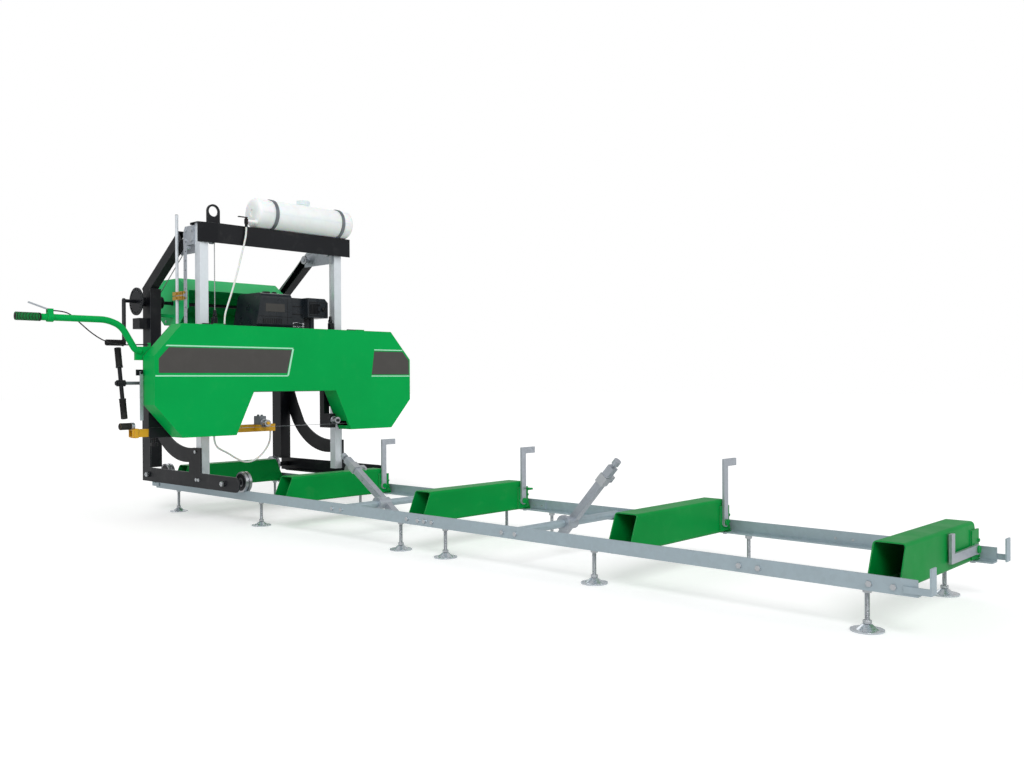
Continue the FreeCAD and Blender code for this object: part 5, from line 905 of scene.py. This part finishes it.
@dataclass
class Carriage:
    """Frame, rollers, winch, ropes, hood and height scale."""

    crank_at: tuple = (-2150.0, 976.0)
    crank_grip: tuple = (-700.0, -600.0)
    hood_walls: tuple = ((-1, -300.0), (1, 360.0))
    hood_screw_z: float = 1112.0
    scale_zero: float = 1054.0
    scale_left: float = -1645.0
    axle_z: float = 222.3
    axles: tuple = (-1295, -2105)

    def crank_sleeve(self) -> None:
        """The ribbed grip of the winch crank."""
        low, high = self.crank_grip
        profile = [(0.0, low), (14.0, low), (17.5, low + 3)]
        y = low + 6
        while y < high - 12:
            profile += [(17.5, y), (16.2, y + 1.5), (16.2, y + 3), (17.5, y + 4.5)]
            y += 7
        profile += [(17.5, high - 6), (20.0, high - 4), (20.0, high - 1), (0.0, high - 1)]
        grip = smooth(turned("crank_grip_sleeve", Axis.Y, self.crank_at, profile, 32), 40)
        done(grip, "rubber", "crank")

    def scale(self) -> None:
        """Marks and numbers of the height scale, on the bar's left face."""
        marks = []
        for step in range(0, 45):
            z = self.scale_zero + step * 10
            wide = 14 if step % 5 == 0 else 8
            marks.append(block("mark", (self.scale_left, -502.5, z - 0.5),
                               (self.scale_left + wide, -502.1, z + 0.5)))
        for number in range(1, 9):
            clear()
            bpy.ops.object.text_add()
            text = bpy.context.active_object
            text.data.body = str(number * 5)
            text.data.size = 10 * MM
            text.data.extrude = 0.2 * MM
            text.data.align_y = "CENTER"
            bpy.ops.object.convert(target="MESH")
            text = bpy.context.active_object
            text.rotation_euler = (math.radians(90), 0, 0)
            text.location = place(-1629, -502.3, self.scale_zero + number * 50)
            marks.append(settle(text))
        done(joined("height_scale_marks", marks), "black_plastic", "carriage")

    def build(self) -> None:
        """Add the carriage's pieces."""
        self.crank_sleeve()
        self.scale()
        self.pointer_clamp()
        self.hood_screws()
        self.hub_caps()
        self.roller_faces()

    def pointer_clamp(self) -> None:
        """The brass coloured jaws and screws of the depth rod's guide."""
        jaws = []
        for foot, top in ((1198, 1218), (1222, 1242)):
            jaws += [block("jaw", (-1745, low, foot), (-1632, high, top))
                     for low, high in ((-514.5, -508.5), (-491.5, -486.0))]
            jaws.append(block("jaw_end", (-1640, -514.5, foot), (-1631, -486.0, top)))
        jaws = [edged(jaw, 1.4) for jaw in jaws]
        for x in (-1700, -1662):
            for z in (1208, 1232):
                jaws.append(hex_head("jaw_screw", Axis.Y, (x, z), 10, (-520.5, -514.4)))
        done(joined("pointer_jaws", jaws), "brass", "carriage")

    def hood_screws(self) -> None:
        """Hex screws with washers on the hood's end walls, to both sides of its feet."""
        heads = []
        for x in (-2225, -2095):
            for side, wall in self.hood_walls:
                washer = drum("washer", Axis.Y, (x, self.hood_screw_z), 8, (wall, wall + side * 1.4), 24)
                ends = sorted((wall + side * 1.2, wall + side * 5.5))
                heads += [washer, hex_head("hood_screw", Axis.Y, (x, self.hood_screw_z), 10, tuple(ends))]
        done(joined("hood_screw_heads", heads), "bolt_zinc", "carriage")

    def hub_caps(self) -> None:
        """Nuts and grease nipples on the rollers' stub axles."""
        nuts = []
        for x in self.axles:
            for side in (-1, 1):
                ends = sorted((side * 484.2, side * 494.0))
                nuts.append(hex_head("axle_nut", Axis.Y, (x, self.axle_z), 24, tuple(ends)))
                nipple = [(0.0, side * 494.0), (4.0, side * 494.0), (3.0, side * 498.0), (4.0, side * 500.0),
                          (0.0, side * 502.0)]
                nuts.append(turned("grease_nipple", Axis.Y, (x, self.axle_z), nipple, 16))
        done(joined("axle_nuts", nuts), "bolt_zinc", "carriage")

    def roller_faces(self) -> None:
        """The blackened webs on the outer faces of the grooved rollers."""
        for x, body in zip(self.axles, ("front_roller_pair", "rear_roller_pair")):
            faces = []
            for side in (-1, 1):
                near, far = side * 376.3, side * 377.1
                face = [(23.0, near), (23.0, far), (45.0, far), (46.0, near)]
                faces.append(turned("roller_face", Axis.Y, (x, self.axle_z), [*face, face[0]], 48))
            done(joined(f"{body}_faces", faces), "black", body)


@dataclass
class Tank:
    """The water tank with its cap, outlet and straps."""

    middle: tuple = (-1540.0, 1697.0)
    left: float = -145.0
    right: float = 512.0
    neck: tuple = (-1540.0, 200.0)
    neck_top: float = 1804.0
    outlet: tuple = (-1497.0, -207.0, 1640.0)

    def shell(self) -> bpy.types.Object:
        """The blown shell: domed ends with a rolled edge and shallow strap seats."""
        half = [(0.0, 6.0), (18.0, 5.0), (20.0, 1.0), (52.0, 0.0), (66.0, 2.0), (76.0, 7.0), (82.5, 15.0),
                (84.6, 26.0)]
        profile = [(r, self.left + d) for r, d in half]
        for seat in (-40.0, 420.0):
            profile += [(84.6, seat - 6), (83.4, seat - 2), (83.4, seat + 22), (84.6, seat + 26)]
        profile += [(r, self.right - d) for r, d in reversed(half)]
        shell = turned("tank_shell", Axis.Y, self.middle, profile, 72)
        return smooth(shell, 60)

    def build(self) -> None:
        """Shell, seam, neck and outlet as one piece, and the ribbed cap."""
        x, z = self.middle
        pieces = [self.shell()]
        seam = []
        for side in (-1, 1):
            seam.append(block("seam", (x + side * 84.2 - 0.7, self.left + 22, z - 1.2),
                              (x + side * 84.2 + 0.7, self.right - 22, z + 1.2)))
        pieces += [edged(strip, 0.5, 1) for strip in seam]
        neck = [(27.0, z + 78), (34.0, z + 78), (34.0, z + 84.5), (30.0, z + 86), (30.0, self.neck_top - 8)]
        neck += [(30.0, self.neck_top), (26.0, self.neck_top), (26.0, z + 78)]
        pieces.append(smooth(turned("tank_neck", Axis.Z, self.neck, neck, 48), 40))
        nx, ny, nz = self.outlet
        pipe = [(0.0, ny), (9.0, ny), (9.0, self.left - 8), (13.0, self.left - 7), (13.0, self.left + 3),
                (0.0, self.left + 3)]
        pieces.append(smooth(turned("outlet_pipe", Axis.Y, (nx, nz), pipe, 32), 40))
        elbow = [(0.0, nz - 34), (7.0, nz - 34), (8.6, nz - 31), (7.4, nz - 28), (8.6, nz - 25),
                 (7.6, nz - 22), (11.0, nz - 14), (11.0, nz + 9.5), (9.5, nz + 11), (0.0, nz + 11)]
        valve = smooth(turned("outlet_valve", Axis.Z, (nx, ny), elbow, 32), 40)
        done(valve, "black_plastic", "carriage")
        done(joined("tank_body", pieces), "tank_milk", "carriage", ("water_tank",))
        self.cap()

    def cap(self) -> None:
        """The screw cap with its grip ribs."""
        low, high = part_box("tank_cap")
        bottom, top = low.z / MM, high.z / MM
        profile = [(0.0, top - 1.5), (18.0, top - 1.2), (24.0, top), (34.0, top), (36.6, top - 2),
                   (36.6, bottom), (31.0, bottom), (31.0, top - 5), (0.0, top - 5)]
        pieces = [smooth(turned("cap_skirt", Axis.Z, self.neck, profile, 60), 40)]
        rib = edged(block("cap_rib", (self.neck[0] + 36, self.neck[1] - 1.1, bottom + 1.5),
                          (self.neck[0] + 37.9, self.neck[1] + 1.1, top - 3)), 0.5, 1)
        about = (*self.neck, 0)
        pieces += [copied(rib, f"cap_rib_{i}", swung(Axis.Z, i * 12, about)) for i in range(30)]
        bpy.data.objects.remove(rib)
        done(joined("tank_cap_ribbed", pieces), "tank_milk", "filler_cap", ("tank_cap",))


@dataclass
class WheelCover:
    """The grey film bands on the hinged green cover, and mint strips along their edges that are painted
    highlights of the cover's bends.
    """

    front: float = -1328.5

    def film(self, name: str, outline: list[tuple], depth: tuple, finish: str) -> None:
        """A flat film on the cover's front, laid a hair proud of it."""
        piece = prism(name, Axis.X, outline, (self.front + depth[0], self.front + depth[1]))
        done(piece, finish, "cover")

    def build(self) -> None:
        """Lay the cover's bands, and the painted highlights along their edges."""
        self.film("left_band", [(-811, 797), (-811, 868), (-757, 926), (-30, 926), (-62, 797)], (-0.1, 0.25),
                  "label_grey")
        self.film("right_band", [(534, 790), (553, 929), (776, 929), (826, 876), (826, 790)], (-0.1, 0.25),
                  "label_grey")
        # Pale mint strips a hair proud of the front: painted highlights where the cover's bends beside the
        # bands catch the light.
        lines = [
            [(-768, 938), (-774, 931), (-27, 931), (-16, 938)],
            [(-829, 786), (-829, 779), (-60, 779), (-48, 786)],
            [(553, 935), (554, 941), (772, 941), (777, 935)],
            [(531, 778), (532, 784), (831, 784), (831, 778)],
        ]
        highlight_strips = [prism(f"line_{i}", Axis.X, line, (self.front - 0.1, self.front + 0.3))
                  for i, line in enumerate(lines)]
        slanted_highlight = prism("highlight_end", Axis.X, [(-27, 931), (-16, 931), (-49, 786), (-60, 786)],
                        (self.front - 0.1, self.front + 0.3))
        done(joined("band_edge_highlights", [*highlight_strips, slanted_highlight]), "edge_highlight_mint", "cover")


@dataclass
class Engine:
    """Dress of the engine: fins, louvres, caps, exhaust and linkage on the case and the cowl."""

    back: float = -1940.0
    front: float = -1630.0
    left: float = -40.0
    right: float = 440.0
    cowl_front: float = -1660.0
    recess_front: float = -1670.0
    recess_left: float = 200.0
    top: float = 1270.0
    cleaner_left: float = 292.0
    cleaner_low: float = 1135.0
    cleaner_top: float = 1252.0
    rear_right: float = 410.0
    starter: tuple = (140.0, 940.0)

    def louvres(self) -> None:
        """Frame, slats and knob on the air cleaner's front."""
        y0, y1 = self.cleaner_left + 10, self.right - 12
        z0, z1 = self.cleaner_low + 12, self.cleaner_top - 26
        low, high = self.front - 0.5, self.front + 2.5
        pieces = [block("bar", (low, y0, z0), (high, y1, z0 + 4)),
                  block("bar", (low, y0, z1), (high, y1, z1 + 4)),
                  block("bar", (low, y0, z0), (high, y0 + 4, z1)),
                  block("bar", (low, y1 - 4, z0), (high, y1, z1))]
        for i in range(6):
            y = y0 + 9 + i * 10
            pieces.append(block("slat", (low, y, z0 + 10), (high + 1.5, y + 5, z1 - 6)))
        for z in (z0 + 18, z1 - 22):
            pieces.append(block("clip", (low, y0 + 70, z), (high + 5, y0 + 78, z + 14)))
        knob = [(0.0, self.front + 16), (9.0, self.front + 15), (13.0, self.front + 11),
                (13.0, self.front + 4), (8.0, self.front), (0.0, self.front)]
        ribbed = smooth(turned("cleaner_knob", Axis.X, (y1 - 24, (z0 + z1) / 2), knob, 12), 30)
        pieces = [edged(piece, 0.7, 1) for piece in pieces] + [ribbed]
        done(joined("cleaner_louvres", pieces), "black_plastic", "head")

    def fins(self) -> None:
        """Cooling fins on both ends of the case and round the two cylinder heads."""
        ribs = []
        for z in range(850, 1045, 13):
            for y, out in ((self.left, -9), (self.right, 9)):
                ribs.append(block("fin", (-1850, min(y, y + out), z), (-1700, max(y, y + out), z + 4)))
        for y0 in (-36.0, 226.0):
            ribs.append(block("head", (self.front - 1, y0 + 10, 872), (self.front + 20, y0 + 96, 1008)))
            for z in range(866, 1012, 11):
                ribs.append(block("fin", (self.front - 1, y0, z), (self.front + 26, y0 + 106, z + 3.5)))
        fins = joined("engine_fins", [edged(rib, 0.8, 1) for rib in ribs])
        done(fins, "fin_alloy", "head")

    def cowl_trim(self) -> None:
        """Seams, vents, caps and a blank plate of the cowl."""
        trim = []
        face = (self.cowl_front - 0.6, self.cowl_front + 0.9)
        trim.append(block("seam", (face[0], -28, 1131), (face[1], self.recess_left - 1, 1134)))
        trim.append(block("seam", (face[0], 168, 1092), (face[1], 170.5, 1238)))
        for i in range(9):
            y = 2 + i * 15
            trim.append(block("vent", (face[0], y, 1092), (face[1] + 0.8, y + 7, 1122)))
        sill = (self.recess_front - 0.6, self.recess_front + 1.4)
        trim.append(block("recess_rib", (sill[0], self.recess_left + 12, 1150), (sill[1], 280, 1156)))
        trim.append(block("recess_rib", (sill[0], self.recess_left + 12, 1196), (sill[1], 280, 1202)))
        trim = [edged(piece, 0.5, 1) for piece in trim]
        for y, radius, x in ((62, 24.0, -1720), (112, 15.0, -1712)):
            cap = [(0.0, self.top + 11), (radius - 3, self.top + 11), (radius, self.top + 8),
                   (radius, self.top + 1), (radius + 3, self.top), (radius + 3, self.top - 2),
                   (0.0, self.top - 2)]
            trim.append(smooth(turned("cap", Axis.Z, (x, y), cap, 14), 25))
        done(joined("cowl_trim", trim), "black_plastic", "head")
        plate = prism("cowl_plate", Axis.X, [(20, 1160), (20, 1208), (150, 1208), (150, 1160)],
                      (self.cowl_front - 0.2, self.cowl_front + 1.2))
        done(edged(plate, 0.5, 1), "label_grey", "head")

    def recoil(self) -> None:
        """The recoil starter's round housing with its slots, rope guide and grip, at the back."""
        y, z = self.starter
        back = self.back
        shell = [(0.0, back - 13), (34.0, back - 13), (38.0, back - 10), (88.0, back - 9), (98.0, back - 3),
                 (100.0, back + 2), (0.0, back + 2)]
        pieces = [smooth(turned("recoil_shell", Axis.X, self.starter, shell, 56), 35)]
        slot_piece = edged(block("slot", (back - 10.6, y - 3, z + 48), (back - 8.5, y + 3, z + 82)), 0.9, 1)
        about = (0, y, z)
        pieces += [copied(slot_piece, f"slot_{i}", swung(Axis.X, i * 20, about)) for i in range(18)]
        bpy.data.objects.remove(slot_piece)
        grip = block("recoil_grip", (back - 14, y + 106, z + 52), (back - 2, y + 152, z + 64))
        pieces.append(edged(grip, 4, 3))
        guide = block("rope_guide", (back - 12, y + 90, z + 48), (back + 1, y + 108, z + 68))
        pieces.append(edged(guide, 2, 2))
        done(joined("recoil_housing", pieces), "black_plastic", "head")

    def muffler(self) -> None:
        """The muffler's shell against the cowl's rear box, with black discs on it for the perforated guard's
        holes: painted shade.
        """
        side = self.rear_right
        can = edged(block("muffler_can", (-1900, side - 2, 1072), (-1764, side + 24, 1196)), 9, 3)
        done(smooth(can), "muffler", "head")
        # Black discs a hair proud of the can's side, in place of holes: painted shade inside the guard's
        # perforations.
        hole_shade_discs = []
        for i in range(5):
            for k in range(4):
                spot_at = (-1884 + i * 26, 1094 + k * 26)
                hole_shade_discs.append(drum("hole", Axis.Y, spot_at, 5, (side + 23, side + 24.6), 16))
        done(joined("muffler_hole_shade", hole_shade_discs), "rubber", "head")

    def linkage(self) -> None:
        """The carburettor's rods, spring and lever on the face of the recess."""
        face = self.recess_front
        front = face + 8
        rods = [bent_rod("link", [(front, 208, 1098), (front + 3, 232, 1104), (front, 256, 1100),
                                  (front, 282, 1090)], 2.2, 3)]
        coil = [(front + 6 * math.cos(i * 0.9), 212 + i * 1.4, 1078 + 6 * math.sin(i * 0.9))
                for i in range(50)]
        rods.append(bent_rod("spring", coil, 0.9, 2))
        rods.append(edged(block("lever", (front - 3, 276, 1070), (front + 1, 288, 1104)), 1, 1))
        for y, z in ((208, 1098), (212, 1078), (281, 1078), (282, 1092)):
            rods.append(drum("pivot", Axis.X, (y, z), 4, (face - 6, front + 5), 18))
        done(joined("governor_linkage", rods), "chrome", "head")

    def build(self) -> None:
        """Add the engine's pieces."""
        self.louvres()
        self.fins()
        self.cowl_trim()
        self.recoil()
        self.muffler()
        self.linkage()


@dataclass
class SawHead:
    """Frame of the head, wheels, toothed band, guides, handles and knobs."""

    band_centre: tuple = (535.0, 747.0)
    band_radius: float = 243.0
    band_back: float = -1386.0
    band_front: float = -1354.0
    teeth: int = 166
    band_thick: float = 1.1
    tee_at: tuple = (-1485.0, -930.0, 747.0)
    tee_half: float = 180.0
    tee_grip_long: float = 95.0
    tee_tilt: float = 11.0
    tee_grip_radius: float = 16.3
    push_at: tuple = (-1450.0, 1058.0)
    arm_grip_at: tuple = (-1480.0, 531.0)

    def band(self) -> None:
        """The band with its teeth, along two half turns and two straight runs."""
        y, z = self.band_centre
        run = 2 * y
        turn = math.pi * self.band_radius
        total = 2 * (run + turn)

        def at(way: float, radius: float) -> tuple[float, float]:
            """The point at a length along the band's loop."""
            way %= total
            if way < run:
                return (-y + way, z - radius)
            if way < run + turn:
                angle = (way - run) / self.band_radius - math.pi / 2
                return (y + radius * math.cos(angle), z + radius * math.sin(angle))
            if way < 2 * run + turn:
                return (y - (way - run - turn), z + radius)
            angle = (way - 2 * run - turn) / self.band_radius + math.pi / 2
            return (-y + radius * math.cos(angle), z + radius * math.sin(angle))

        mesh = bmesh.new()
        pitch = total / self.teeth
        inner = self.band_radius - self.band_thick
        shape = ((0.0, self.band_front), (0.2, self.band_front - 5.5), (0.55, self.band_front - 6.0))
        rows: list[list[bmesh.types.BMVert]] = []
        for tooth in range(self.teeth):
            for share, edge in shape:
                way = (tooth + share) * pitch
                row = []
                for radius, x in ((inner, self.band_back), (inner, edge), (self.band_radius, edge),
                                  (self.band_radius, self.band_back)):
                    row.append(mesh.verts.new(spot(Axis.X, x, *at(way, radius))))
                rows.append(row)
        for i, row in enumerate(rows):
            after = rows[(i + 1) % len(rows)]
            for k in range(4):
                mesh.faces.new((row[k], row[(k + 1) % 4], after[(k + 1) % 4], after[k]))
        data = bpy.data.meshes.new("toothed_band")
        mesh.to_mesh(data)
        mesh.free()
        piece = placed("toothed_band", data)
        pick(piece)
        bpy.ops.object.mode_set(mode="EDIT")
        outward()
        done(piece, "blade", "head", ("band_blade",))

    def sleeve(self, name: str, axis: Axis, centre: tuple, radius: float, span: tuple, body: str) -> None:
        """A ribbed rubber grip along an axis."""
        low, high = min(span), max(span)
        profile = [(0.0, low), (radius - 3, low), (radius, low + 2.5)]
        along = low + 6
        while along < high - 12:
            profile += [(radius, along), (radius - 1.1, along + 1.4), (radius - 1.1, along + 2.8),
                        (radius, along + 4.2)]
            along += 6.5
        profile += [(radius, high - 5), (radius - 0.5, high - 1), (radius - 3, high), (0.0, high)]
        done(smooth(turned(name, axis, centre, profile, 36), 40), "rubber", body)

    def build(self) -> None:
        """Add the head's pieces."""
        self.band()
        self.sleeve("push_grip", Axis.Y, self.push_at, 19.8, (-1440.3, -1329), "head")
        self.sleeve("arm_grip", Axis.Y, self.arm_grip_at, 17.5, (-941, -884), "arm")
        self.tension_grips()
        self.tension_thread()
        self.depth_sleeve()
        ring = edged(drum("arm_grip_ring", Axis.Y, self.arm_grip_at, 18.5, (-884, -867.5), 40), 1.2, 2)
        done(ring, "plain_zinc", "arm")
        self.block_cap()

    def tension_grips(self) -> None:
        """The ribbed grips at both ends of the tension handle's bar, with black painted collars and a nut.
        """
        x, y, z = self.tee_at
        tilt = swung(Axis.Y, -self.tee_tilt, self.tee_at)
        collars = []
        for way in (-1, 1):
            start, end = z + way * (self.tee_half - self.tee_grip_long), z + way * (self.tee_half + 0.5)
            name = f"tension_grip_{'low' if way < 0 else 'high'}"
            self.sleeve(name, Axis.Z, (x, y), self.tee_grip_radius, (start, end), "tension_screw")
            bpy.data.objects[name].data.transform(tilt)
            span = (start - way * 6, start)
            collar = drum("collar", Axis.Z, (x, y), self.tee_grip_radius + 1, span, 32)
            collar.data.transform(tilt)
            collars.append(edged(collar, 1, 2))
        nut = hex_head("tee_nut", Axis.Y, (x, z), 20, (y - 28, y - 20))
        done(joined("tension_collars", [*collars, nut]), "black", "tension_screw")

    def tension_thread(self) -> None:
        """The thread of the tension screw between the hub and the tube's end."""
        x, y, z = self.tee_at
        profile = [(8.0, y + 21.0)]
        along = y + 22.0
        while along < -801.0:
            profile += [(8.5, along), (8.05, along + 1.5)]
            along += 3.0
        thread = smooth(turned("tension_thread", Axis.Y, (x, z), profile, 20), 50)
        done(thread, "dull_zinc", "tension_screw")

    def block_cap(self) -> None:
        """The bare steel plate on the guide block, with its two clamp bolts."""
        plate = edged(block("plate", (-1460.5, -190.5, 514), (-1401.5, -149.5, 562.4)), 1.0)
        bolts = [hex_head("bolt", Axis.Z, (-1431 + dx, -170), 13, (562, 570)) for dx in (-18, 18)]
        done(joined("guide_block_cap", [plate, *bolts]), "dull_zinc", "arm")

    def depth_sleeve(self) -> None:
        """The bright skin of the depth rod above its arm."""
        rod = [(0.0, 1664.8), (6.5, 1664.8), (8.25, 1663.0), (8.25, 981.0), (0.0, 981.0)]
        skin = smooth(turned("depth_rod_skin", Axis.Z, (-1720, -500), rod, 28), 40)
        done(skin, "post_zinc", "head")


def main() -> None:
    """Build the scene."""
    logging.basicConfig(level=logging.INFO, format="%(message)s")
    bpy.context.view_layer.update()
    studio = Studio()
    studio.build()
    for line in LINES:
        line.build()
    for finish, nodes in NODE_FINISHES.items():
        for node in nodes:
            PAINT.coat(NODES[node], finish)
    for part in (Track(), Carriage(), Tank(), WheelCover(), Engine(), SawHead()):
        part.build()
    clear()


if __name__ == "__main__":
    main()
